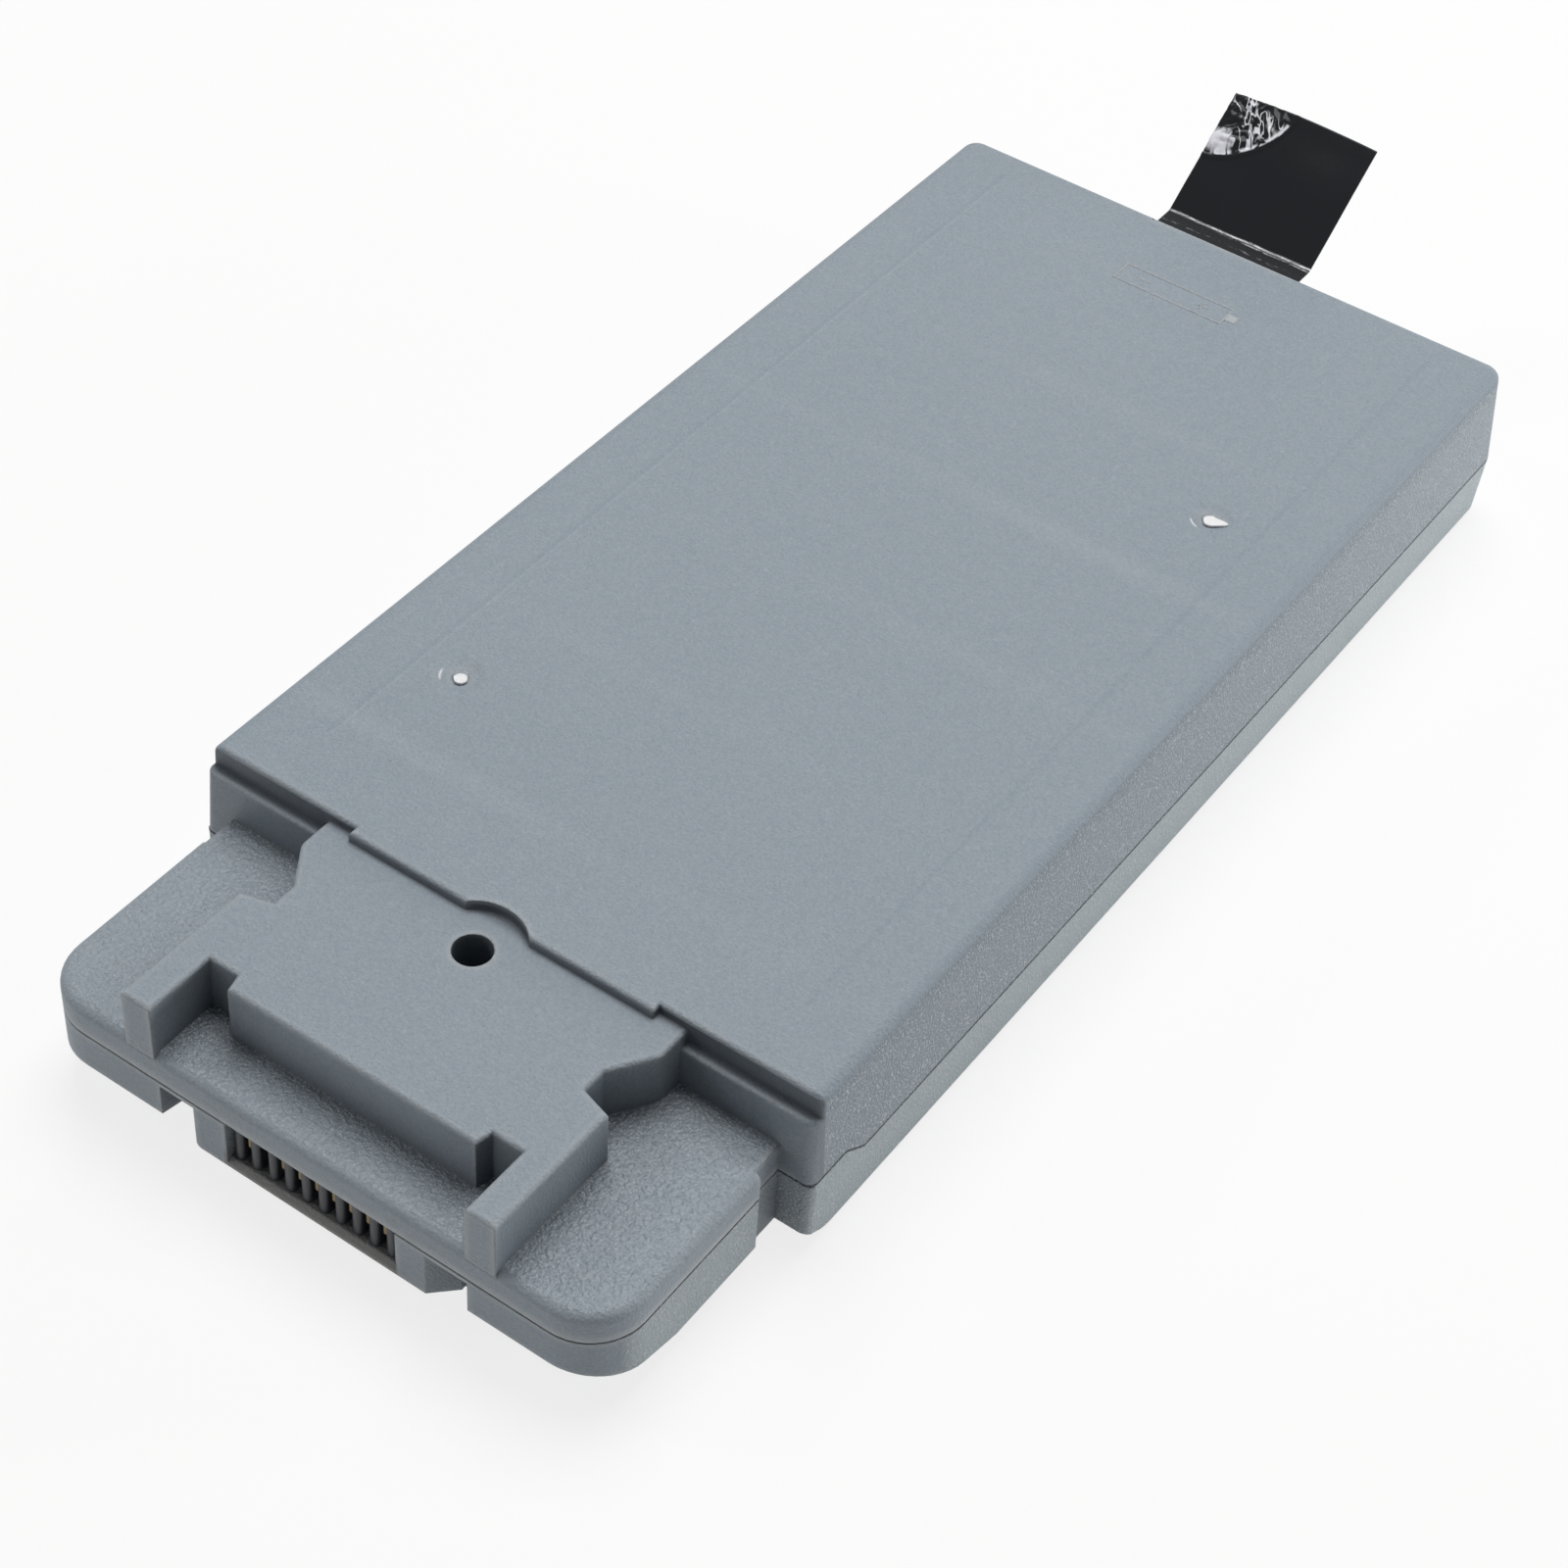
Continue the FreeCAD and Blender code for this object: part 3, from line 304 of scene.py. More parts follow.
def sink_lines(finish):
    """The thin dark lines over the ribs that run along both sides, one with a painted highlight
    beside it.
    """
    along = (finish.y > LIP + RIB_FROM) * (finish.y < BACK - RIB_TO)
    line_highlight = finish.x.near(LINE_HIGHLIGHT_OFFSET - SIDE_RIB, LINE_HIGHLIGHT_REACH)
    return (abs(finish.x).near(SIDE_RIB, LINE_REACH) - line_highlight * LINE_HIGHLIGHT_SHARE) * along


def gate_highlights(finish):
    """A painted highlight: a short white arc on the rim of each gate's dish, on its side toward the
    light.
    """
    total = 0.0
    for side, place in GATES.items():
        across = finish.x - place.x
        along = finish.y - place.y
        radius = (across * across + along * along).power(0.5)
        turn = math.radians(GATE_HIGHLIGHT_TURNS[side])
        facing = (across * math.cos(turn) + along * math.sin(turn)) / radius
        total = total + radius.near(GATE_HIGHLIGHT_RADIUS, GATE_HIGHLIGHT_REACH) * facing.above(0.90, 12)
    return total * GATE_HIGHLIGHT_SHARE


print("bands:", len(BANDS), "gates:", len(GATES))

# %% [markdown]
# ### Where a point of the case lies
# The finish is not the same all over. The top wears smooth in use, so the grain is strongest on
# the sides, and the floor of the tongue lies sheltered and is a little glossier. Masks on the
# piece's own coordinates say which of these places a point belongs to. They fade over a short run
# wherever a hard border would show.

# %% Line between the shells
PARTING = 9.6 * MM
PARTING_DROP = 2.0 * MM
DROP_FROM = 4.1 * MM
DROP_RUN = 3.0 * MM


def parting_height(finish):
    """Where the shells meet: high at the tongue, and lower behind a short slope on the body."""
    return PARTING - finish.y.past(LIP + DROP_FROM, DROP_RUN) * PARTING_DROP


print("the shells meet at", round(PARTING / MM, 1), "mm and", round(PARTING_DROP / MM, 1), "lower")

# %% Long sides
SIDE_FROM = 34.6 * MM
SIDE_RUN = 1.0 * MM
SIDE_BEHIND_LIP = 0.5 * MM
SIDE_BEFORE_BACK = 1.5 * MM
SIDE_FADE = 2.0 * MM
SIDE_UNDER_TOP = 1.0 * MM
TONGUE_SIDE_FROM = 32.6 * MM
TONGUE_SIDE_RUN = 0.5 * MM


def side_share(finish):
    """One on the long sides of the body and of the tongue, nothing elsewhere."""
    before_back = ((BACK - SIDE_BEFORE_BACK - finish.y) / SIDE_FADE).clamp()
    along_body = (finish.y > LIP + SIDE_BEHIND_LIP) * before_back
    on_body = abs(finish.x).past(SIDE_FROM, SIDE_RUN) * along_body
    on_tongue = abs(finish.x).past(TONGUE_SIDE_FROM, TONGUE_SIDE_RUN) * (finish.z < PARTING)
    return (on_body + on_tongue).clamp() * (finish.z < TOP - SIDE_UNDER_TOP)


print("the sides begin at", round(SIDE_FROM / MM, 1), "mm from the middle")

# %% Shoulders, lip and socket
# Where painted shade lies along the shoulders
SHOULDER_FROM = 34.2 * MM
SHOULDER_RUN = 1.4 * MM
SHOULDER_DROP = 1.2 * MM
SHOULDER_REACH = 2.2 * MM
LIP_REACH = 1.3 * MM
LIP_DROP = 0.5 * MM
SOCKET_HALF = 10.3 * MM
SOCKET_DEPTH = 6 * MM
SOCKET_CEILING = 6.0 * MM
SOCKET_FADE = 1.0 * MM


def shoulder_share(finish):
    """A soft band of painted shade along the shoulders between the top and the long sides."""
    outward = abs(finish.x).past(SHOULDER_FROM, SHOULDER_RUN)
    return finish.z.near(TOP - SHOULDER_DROP, SHOULDER_REACH) * outward


def lip_wall(finish, on_side):
    """One on the wall that drops from the lip to the tongue, at the front of the body, where
    painted shade falls.
    """
    return finish.y.near(LIP, LIP_REACH) * (finish.z < TOP - LIP_DROP) * (1 - on_side)


def socket_share(finish):
    """One on the floor and the lip of the socket, which are made browner."""
    inside = (abs(finish.x) < SOCKET_HALF) * (finish.y < NOSE + SOCKET_DEPTH)
    return inside * ((SOCKET_CEILING - finish.z) / SOCKET_FADE).clamp()


print("the socket is", round(2 * SOCKET_HALF / MM, 1), "mm wide")

# %% [markdown]
# ### Tone of the plastic
# The base colour wavers between a paler and a deeper grey. Three sizes of noise give the grain and
# the soft clouds, rare peaks of a fourth give the pale specks, and the sink marks are added on the
# top face alone.

# %% Tone of the plastic
SPECKLE = 0.36 * MM
SPECKS = 0.55 * MM
MOTTLE = 1.3 * MM
CLOUD = 28 * MM
SPECKLE_SHARE = 2.8
MOTTLE_SHARE = 0.4
CLOUD_SHARE = 0.3
SPECKS_SHARE = 0.6
BANDS_SHARE = 0.42
LINES_SHARE = 0.30


def case_tone(finish, speckle, on_top):
    """A number above nothing where the plastic is paler, and below it where it is deeper."""
    mottle = finish.grain(MOTTLE)
    cloud = finish.grain(CLOUD, detail=1.5)
    specks = finish.grain(SPECKS, detail=1.0).above(0.66, 9)
    tone = (speckle - 0.5) * SPECKLE_SHARE + (mottle - 0.5) * MOTTLE_SHARE
    tone = tone + (cloud - 0.5) * CLOUD_SHARE + specks * SPECKS_SHARE
    marks = sink_bands(finish) * BANDS_SHARE - sink_lines(finish) * LINES_SHARE
    return tone + on_top * marks


print("the finest speckle is", round(SPECKLE / MM, 2), "mm")

# %% [markdown]
# ### Sides, edges and corners
# The table shines up at the long sides, and that light is painted: they are painted paler toward
# the back and most of all below the line where the shells meet, and painted shade darkens their
# front above it. That line is drawn darker, and painted shade darkens the shoulders. The outer
# edges get a painted highlight and the inner corners painted shade: the Ambient Occlusion node
# finds both, from inside and from outside the plastic.

# %% Colour of the sides
# A deeper grey of the plastic, also used for painted shade
CASE_DEEP_AND_SHADE = (0.200, 0.246, 0.288)
# Dark of the line between the shells, also used for painted shade
CASE_SEAM_AND_SHADE = (0.078, 0.093, 0.112)
# Painted light on the long sides, where the table shines up
CASE_SIDE_LIT = (0.398, 0.456, 0.484)
SIDE_LIGHT_AT_FRONT = 0.05
SIDE_LIGHT_TOWARD_BACK = 0.2
SIDE_LIGHT_BELOW = 0.78
SHADED_SHARE = 0.35
SEAM_MIDDLE = -0.1 * MM
SEAM_REACH = 0.3 * MM
SEAM_SHARE = 0.85
SHOULDER_SHARE = 0.60


def side_colour(finish, colour, on_side):
    """The same colour with painted light on the long sides, painted shade near their front, the
    line between the shells and painted shade on the shoulder.
    """
    toward_back = finish.y.past(LIP, BACK - LIP)
    above_parting = finish.z - parting_height(finish)
    # Painted light from the table: paler toward the back and below the line between the shells
    pale = SIDE_LIGHT_AT_FRONT + SIDE_LIGHT_TOWARD_BACK * toward_back + SIDE_LIGHT_BELOW * (above_parting < 0.0)
    colour = finish.mix(on_side * pale, colour, CASE_SIDE_LIT)
    # Painted shade on the sides near the front, above the line between the shells
    shaded = on_side * (1 - toward_back) * (above_parting > 0.0)
    colour = finish.mix(shaded * SHADED_SHARE, colour, CASE_DEEP_AND_SHADE)
    seam = on_side * above_parting.near(SEAM_MIDDLE, SEAM_REACH)
    colour = finish.mix(seam * SEAM_SHARE, colour, CASE_SEAM_AND_SHADE)
    return finish.mix(shoulder_share(finish) * SHOULDER_SHARE, colour, CASE_DEEP_AND_SHADE)


print("the sides in linear red, green and blue:", CASE_SIDE_LIT)

# %% Colour of the case
CASE = (0.262, 0.308, 0.350)
CASE_PALE = (0.330, 0.376, 0.418)
# Colour of the painted highlight on the outer edges
CASE_EDGE_HIGHLIGHT = (0.440, 0.470, 0.490)
# Colour of the painted glints
CASE_GLINT = (0.560, 0.600, 0.640)
CASE_SOCKET_BROWN = (0.190, 0.170, 0.150)
# White of the painted highlight on the gates' rims
GATE_HIGHLIGHT_WHITE = (0.84, 0.85, 0.87)
EDGE_REACH = 0.9 * MM
EDGE_FROM = 0.08
EDGE_GAIN = 2.2
CORNER_REACH = 9 * MM
GLINT_SIZE = 0.22 * MM
EDGE_HIGHLIGHT_SHARE = 0.8
SOCKET_BROWN_SHARE = 0.65
LIP_WALL_SHARE = 0.65


def case_colour(finish, speckle, on_top, on_floor, on_side):
    tone = case_tone(finish, speckle, on_top)
    colour = finish.mix(tone.clamp(), CASE, CASE_PALE)
    colour = finish.mix((0 - tone).clamp(), colour, CASE_DEEP_AND_SHADE)
    # Painted highlight along the outer edges, found by the Ambient Occlusion node from inside
    edge = finish.closeness(EDGE_REACH, inside=True)
    edge_highlight = (edge - EDGE_FROM) * EDGE_GAIN * (abs(finish.x) < SIDE_FROM)
    colour = finish.mix(edge_highlight.clamp() * EDGE_HIGHLIGHT_SHARE, colour, CASE_EDGE_HIGHLIGHT)
    colour = side_colour(finish, colour, on_side)
    colour = finish.mix(socket_share(finish) * SOCKET_BROWN_SHARE, colour, CASE_SOCKET_BROWN)
    # Painted shade in the inner corners and on the wall under the lip
    painted_shade = finish.closeness(CORNER_REACH) + lip_wall(finish, on_side) * LIP_WALL_SHARE
    colour = finish.mix(painted_shade.clamp(), colour, CASE_SEAM_AND_SHADE)
    # Painted glints on the tongue's floor, strongest in its painted shade, and on the long sides
    glint_share = on_floor * (0.08 + painted_shade * 0.8) + on_side * 0.85
    painted_glints = finish.grain(GLINT_SIZE, detail=1.0).above(0.56, 9) * glint_share
    colour = finish.mix(painted_glints, colour, CASE_GLINT)
    # Painted highlight on the rims of the gates' dishes
    return finish.mix((gate_highlights(finish) * on_top).clamp(), colour, GATE_HIGHLIGHT_WHITE)


print("the case in linear red, green and blue:", CASE)

# %% Case finish
TOP_SKIN = 0.3 * MM
TONGUE_FLOOR = 13.0 * MM
FLOOR_SKIN = 0.05 * MM
PEBBLES = 0.30 * MM
COARSE_PEBBLES = 0.52 * MM
GRAIN_DEPTH = 0.15 * MM
EDGE_RADIUS = 0.40 * MM


def case_finish(name):
    finish = Finish(name, IOR=1.46)
    on_top = finish.z > TOP - TOP_SKIN
    on_floor = abs(finish.z - TONGUE_FLOOR) < FLOOR_SKIN
    on_side = side_share(finish)
    speckle = finish.grain(SPECKLE, detail=3.0, roughness=0.7)
    finish.set("Base Color", case_colour(finish, speckle, on_top, on_floor, on_side))
    finish.set("Roughness", 0.52 + (speckle - 0.5) * 0.2 - on_floor * 0.20)
    pebbles = finish.grain(PEBBLES, roughness=0.6)
    coarse = finish.grain(COARSE_PEBBLES, detail=1.0)
    height = pebbles * (1.0 + on_side * 1.4) + coarse * on_floor * 1.6
    finish.set("Normal", finish.bump(height, GRAIN_DEPTH, under=finish.soft_edges(EDGE_RADIUS)))
    return finish.material


def dress(node, material):
    """Give a solid of the frame its finish."""
    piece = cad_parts[node]
    piece.data.materials.clear()
    piece.data.materials.append(material)


case = case_finish("case_plastic")
for shell in ("upper_shell", "lower_shell"):
    dress(shell, case)
print("case plastic on both shells")

# %% [markdown]
# ## Connector
# The comb in the socket is moulded in a dark glass-filled plastic, a shade glossier than the case.
# The blades between its ribs are brass strip, and the mill's rolling lines run along them.


# %% Connector finishes
def comb_finish():
    finish = Finish("comb_plastic", IOR=1.5)
    fibre = finish.grain(0.25 * MM, detail=3.0, stretch=(1.0, 1.0, 0.3))
    finish.set("Base Color", finish.mix(fibre, (0.012, 0.014, 0.018), (0.034, 0.037, 0.046)))
    finish.set("Roughness", 0.30 + fibre * 0.2)
    finish.set("Normal", finish.bump(fibre, 0.01 * MM))
    return finish.material


def brass_finish():
    finish = Finish("rolled_brass", Metallic=1.0)
    lines = finish.grain(0.06 * MM, stretch=(1.0, 0.08, 1.0))
    tarnish = finish.grain(1.5 * MM, detail=3.0)
    bright = finish.mix(lines, (0.22, 0.17, 0.09), (0.34, 0.27, 0.16))
    finish.set("Base Color", finish.mix(tarnish * 0.5, bright, (0.14, 0.10, 0.06)))
    finish.set("Roughness", 0.28 + lines * 0.15)
    finish.set("Normal", finish.bump(lines, 0.004 * MM))
    return finish.material


dress("connector_block", comb_finish())
brass = brass_finish()
contacts = sorted(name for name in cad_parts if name.startswith("contact_"))
for name in contacts:
    dress(name, brass)
print("brass on", len(contacts), "contacts")

# %% [markdown]
# ## What the case holds
# Nothing inside shows until the shells are lifted, but each piece still gets the finish it has on
# the bench: shrunk sleeve on the cells, nickel strip, pressed card, board lacquer and chip resin.


# %% Inner finishes
def sleeve_finish():
    finish = Finish("cell_sleeve", IOR=1.5)
    ripple = finish.grain(3 * MM, stretch=(1.0, 0.2, 1.0))
    finish.set("Base Color", finish.mix(ripple, (0.05, 0.17, 0.40), (0.09, 0.27, 0.55)))
    finish.set("Roughness", 0.22 + ripple * 0.12)
    finish.set("Normal", finish.bump(ripple, 0.05 * MM))
    return finish.material


def nickel_finish():
    finish = Finish("nickel_strip", Metallic=1.0)
    lines = finish.grain(0.12 * MM, stretch=(0.06, 1.0, 1.0))
    finish.set("Base Color", finish.mix(lines, (0.55, 0.53, 0.48), (0.74, 0.72, 0.67)))
    finish.set("Roughness", 0.26 + lines * 0.16)
    finish.set("Normal", finish.bump(lines, 0.006 * MM))
    return finish.material


def card_finish():
    finish = Finish("pressed_card")
    fibre = finish.grain(0.5 * MM, detail=4.0, roughness=0.7, stretch=(0.4, 1.0, 1.0))
    finish.set("Base Color", finish.mix(fibre, (0.20, 0.27, 0.22), (0.33, 0.41, 0.34)))
    finish.set("Roughness", 0.82 + fibre * 0.1)
    finish.set("Normal", finish.bump(fibre, 0.03 * MM))
    return finish.material


def board_finish():
    finish = Finish("board_lacquer", IOR=1.5)
    weave = finish.add("TexWave", {"bands_direction": "X"}, output=1, Vector=finish.place,
                       Scale=900.0)
    copper = finish.grain(4 * MM, detail=0.5) > 0.52
    green = finish.mix(copper, (0.015, 0.11, 0.05), (0.03, 0.17, 0.08))
    finish.set("Base Color", finish.mix(weave * 0.2, green, (0.02, 0.08, 0.04)))
    finish.set("Roughness", 0.30 + weave * 0.08)
    finish.set("Normal", finish.bump(copper, 0.03 * MM))
    return finish.material


def resin_finish():
    finish = Finish("chip_resin", IOR=1.5)
    grit = finish.grain(0.12 * MM)
    finish.set("Base Color", finish.mix(grit, (0.012, 0.012, 0.013), (0.035, 0.035, 0.037)))
    finish.set("Roughness", 0.50 + grit * 0.2)
    finish.set("Normal", finish.bump(grit, 0.01 * MM))
    return finish.material


# %% Finishes on the inner pieces
INNER = (
    (sleeve_finish(), ("cell_",)),
    (nickel_finish(), ("front_strip", "middle_strip", "rear_strip")),
    (card_finish(), ("insulator_ring_", "front_card", "rear_card")),
    (board_finish(), ("protection_board",)),
    (resin_finish(), ("controller_chip", "mosfet_", "fuse", "shunt_resistor", "thermistor")),
)
for material, starts in INNER:
    names = [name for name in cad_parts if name.startswith(starts)]
    for name in names:
        dress(name, material)
    print(material.name, "on", len(names), "pieces")

# %% [markdown]
# ## New pieces
# A new piece is shaped as a bmesh and then put in the scene with its finish and its body.


# %% Put a piece in the scene
def add_piece(name, shape, material, smooth=True):
    mesh = bpy.data.meshes.new(name)
    bmesh.ops.recalc_face_normals(shape, faces=shape.faces)
    shape.to_mesh(mesh)
    shape.free()
    mesh.materials.append(material)
    mesh.polygons.foreach_set("use_smooth", [smooth] * len(mesh.polygons))
    piece = bpy.data.objects.new(name, mesh)
    scene.collection.objects.link(piece)
    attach(piece, "root")
    print(name, "has", len(mesh.polygons), "faces")
    return piece


# %% [markdown]
# ## Pull tab
# The tab is a strip of glossy black film. It comes out of its slit level, is bent up at a crease
# that has turned white with use, and its far corner has been folded over and flattened again.
# The strip is laid out flat as a fine grid, its corner is crumpled there, and the grid is then
# carried along the bent path, so the film keeps its length. Solidify gives it its thickness.

# %% Path of the film
FILM = 0.22 * MM
FILM_LEFT = tab_low.x
FILM_RIGHT = tab_high.x
FILM_LEVEL = 19.175 * MM
SLIT_BEFORE_BACK = 1.64 * MM
LEVEL_RUN = 3.4 * MM
CREASE_Y = BACK - SLIT_BEFORE_BACK + LEVEL_RUN
BEND_REACH = 0.35 * MM
LEG_Y = tab_low.y + FILM
TIP = Vector((0, tab_high.y - 0.2 * MM, tab_high.z - 0.25 * MM))
path = [Vector((0, LEG_Y, tab_low.z)), Vector((0, LEG_Y, FILM_LEVEL)),
        Vector((0, CREASE_Y, FILM_LEVEL)), TIP]
runs = [(end - start).length for start, end in zip(path, path[1:])]
FILM_LENGTH = sum(runs)
CREASE_AT = runs[0] + runs[1]


def on_path(distance):
    """The point of the bent path at a distance along the film."""
    for start, end, run in zip(path, path[1:], runs):
        if distance <= run:
            return start.lerp(end, distance / run)
        distance -= run
    return path[-1] + (path[-1] - path[-2]).normalized() * distance


def rounded_path(distance):
    """The same, with its corners eased over a short reach."""
    steps = (-1, -0.5, 0, 0.5, 1)
    return sum((on_path(distance + step * BEND_REACH) for step in steps), Vector()) / len(steps)


print("film length in mm:", round(FILM_LENGTH / MM, 1))

# %% [markdown]
# ### The crumpled corner
# The fold was pressed flat again, so a low ridge bounds the corner and small sharp facets fill it.
# The facets are three sets of folded stripes that cross each other, bent by noise. They die out at
# the very edge, which keeps the outline of the film clean.

# %% Heights of the crumpled corner
FOLD = Vector((8.4, 8.6)) * MM
FOLD_CURVE = 1.8
RIDGE_HEIGHT = 0.14 * MM
RIDGE_SHARE = 0.05
CLEAN_EDGE = 1.0 * MM
# Each set of stripes: its turn in degrees and its width in mm
STRIPES = ((20, 3.1), (75, 2.3), (130, 1.6))
WIDEST_HALF = 2.6
FACET_MIDDLE = 0.6
CRINKLE = 0.38 * MM
CRINKLE_GAIN = 5
WOBBLE_SIZE = 2.2 * MM
WOBBLE_SHARE = 1.3
BLISTER = Vector((1.8, 5.8)) * MM
BLISTER_HEIGHT = 0.40 * MM
BLISTER_REACH = 2.6 * MM


def facet_height(across, from_end):
    """The sum of the folded stripes, a plain number about the facets' middle."""
    total = 0.0
    for step, (turn, size) in enumerate(STRIPES):
        along = across * math.cos(math.radians(turn)) + from_end * math.sin(math.radians(turn))
        wobble = noise.noise(Vector((across, from_end, step * MM)) / WOBBLE_SIZE)
        phase = along / (size * MM) + wobble * WOBBLE_SHARE
        total += abs(phase % 1.0 - 0.5) * size / WIDEST_HALF
    return total


def crinkle_height(across, from_end):
    """How far the film stands off its plain path, by its places across and from its end."""
    reach = (across / FOLD.x) ** FOLD_CURVE + (max(0.0, from_end) / FOLD.y) ** FOLD_CURVE
    inside = 1 - reach ** (1 / FOLD_CURVE)
    if inside < -RIDGE_SHARE:
        return 0.0
    ridge = RIDGE_HEIGHT * max(0.0, 1 - abs(inside) / RIDGE_SHARE)
    from_edge = max(0.0, min(across, from_end)) / CLEAN_EDGE
    depth = min(1.0, max(0.0, inside) * CRINKLE_GAIN) * min(1.0, from_edge)
    away = (Vector((across, from_end)) - BLISTER).length
    blister = BLISTER_HEIGHT * max(0.0, 1 - away / BLISTER_REACH)
    facets = (facet_height(across, from_end) - FACET_MIDDLE) * CRINKLE
    return ridge + depth * (facets + blister)


print("the corner is crumpled over", round(FOLD.x / MM, 1), "by", round(FOLD.y / MM, 1), "mm")

# %% Shape of the film
GRID_ACROSS = 110
GRID_ALONG = 190
FAR_EDGE_BOW = 0.35 * MM
SWAY_SIZE = 9 * MM
SWAY_HEIGHT = 0.25 * MM
SAG = 0.25 * MM
TANGENT_STEP = 0.1 * MM


def make_film():
    shape = bmesh.new()
    bmesh.ops.create_grid(shape, x_segments=GRID_ACROSS, y_segments=GRID_ALONG, size=0.5)
    for vert in shape.verts:
        across = (vert.co.x + 0.5) * (FILM_RIGHT - FILM_LEFT)
        distance = (vert.co.y + 0.5) * FILM_LENGTH
        from_end = FILM_LENGTH - distance
        off_middle = 2 * abs(vert.co.x)
        share = max(0.0, distance - CREASE_AT) / runs[2]
        distance -= FAR_EDGE_BOW * off_middle * off_middle * share
        point = rounded_path(distance)
        ahead = rounded_path(distance + TANGENT_STEP) - rounded_path(distance - TANGENT_STEP)
        normal = Vector((1, 0, 0)).cross(ahead).normalized()
        sway = noise.noise(Vector((across, distance, 0)) / SWAY_SIZE) * SWAY_HEIGHT * share
        lift = crinkle_height(across, from_end) + sway - SAG * share
        vert.co = point + normal * lift
        vert.co.x = FILM_LEFT + across
    bmesh.ops.recalc_face_normals(shape, faces=shape.faces)
    bmesh.ops.solidify(shape, geom=shape.faces, thickness=FILM)
    return shape


print("film grid:", GRID_ACROSS, "by", GRID_ALONG)

# %% [markdown]
# ### Pale places of the film
# Black film turns white where it is stretched, along the crease. In the crumpled corner a smooth
# patch, a rim at the fold and fine curved wrinkles are painted highlights of light on its facets.
# The wrinkles are the contour lines of a stretched noise, which run on like real creases and never
# look like loose dots.

# %% Pale places of the film
# The places of the painted highlights in the corner: across, from the end, reach, strength
CORNER_GLINT_SPOTS = ((1.7, 1.0, 1.7, 1.0), (4.3, 2.9, 2.4, 1.0), (6.6, 3.0, 1.8, 0.9),
             (3.6, 5.4, 1.8, 0.9))
CORNER_GLINT_PATCH = (1.0, 6.7, 2.6, 1.0)
SPOT_SQUASH = 1.15
WRINKLE_SIZE = 0.9 * MM
WRINKLE_WIDTH = 0.052
WRINKLE_GAIN = 34
WRINKLE_SHARE = 1.3
LEVEL_GAIN = 2.8
PATCH_GAIN = 2.7
PATCH_FROM = 0.45
PATCH_WAVES = 2.2
PATCH_GRIT = 0.6
WRINKLE_STRETCH = 0.45
WRINKLE_COSINE = 0.81
WRINKLE_SINE = 0.585
RIM_PLACE = 0.93
RIM_REACH = 0.09
RIM_FROM_END = 1.5 * MM


def nearness(across, from_end, spot):
    """One in the middle of a spot of the film, falling to nothing at its reach."""
    place_across, place_along, reach, strength = spot
    side = across - place_across * MM
    along = (from_end - place_along * MM) * SPOT_SQUASH
    return (1 - (side * side + along * along).power(0.5) / (reach * MM)).clamp() * strength


def wrinkle_waves(finish):
    """Noise that is stretched along the lean of the wrinkles."""
    along = finish.x * WRINKLE_COSINE + finish.y * WRINKLE_SINE
    aside = (finish.x * WRINKLE_SINE - finish.y * WRINKLE_COSINE) * WRINKLE_STRETCH
    turned = finish.add("CombineXYZ", X=along, Y=aside)
    return finish.add("TexNoise", Vector=turned, Scale=1 / WRINKLE_SIZE, Detail=1.0,
                      Distortion=0.8)


def corner_glints(finish):
    """The painted highlights of the crumpled corner."""
    across = finish.x - FILM_LEFT
    lean = math.atan2(TIP.z - FILM_LEVEL, TIP.y - CREASE_Y)
    from_end = (TIP.y - finish.y) / math.cos(lean)
    curve = (abs(across) / FOLD.x).power(FOLD_CURVE) + (abs(from_end) / FOLD.y).power(FOLD_CURVE)
    level = 0.0
    for spot in CORNER_GLINT_SPOTS:
        level = level + nearness(across, from_end, spot)
    waves = wrinkle_waves(finish)
    grit = finish.grain(0.3 * MM)
    contours = ((WRINKLE_WIDTH - abs(waves - 0.5)) * WRINKLE_GAIN).clamp()
    wrinkle_glints = contours * (level * LEVEL_GAIN).clamp()
    patch = nearness(across, from_end, CORNER_GLINT_PATCH) * PATCH_GAIN - PATCH_FROM
    patch = patch + (waves - 0.5) * PATCH_WAVES + (grit - 0.5) * PATCH_GRIT
    rim = curve.near(RIM_PLACE, RIM_REACH) * (from_end > RIM_FROM_END) * waves.above(0.42, 8)
    return (wrinkle_glints * WRINKLE_SHARE + patch.clamp() + rim).clamp() * (curve < 1.0)


print("stretched spots in the corner:", len(CORNER_GLINT_SPOTS) + 1)

# %% Film finish
BLACK = (0.0015, 0.0025, 0.0045)
BLACK_CLOUD = (0.004, 0.005, 0.009)
# White of the worn crease, also used for the painted highlights of the corner
FILM_WORN_AND_GLINT = (0.86, 0.86, 0.92)
CREASE_REACH = 0.19 * MM
CREASE_WHOLE = 0.35
CREASE_FLAKES = 0.75
SECOND_CREASE = -0.42 * MM
SECOND_REACH = 0.15 * MM
SECOND_FROM = -4 * MM
SECOND_RUN = 6 * MM
SECOND_SHARE = 0.8
SCUFFS = -1.9 * MM
SCUFFS_REACH = 0.3 * MM
SCUFFS_SHARE = 0.3


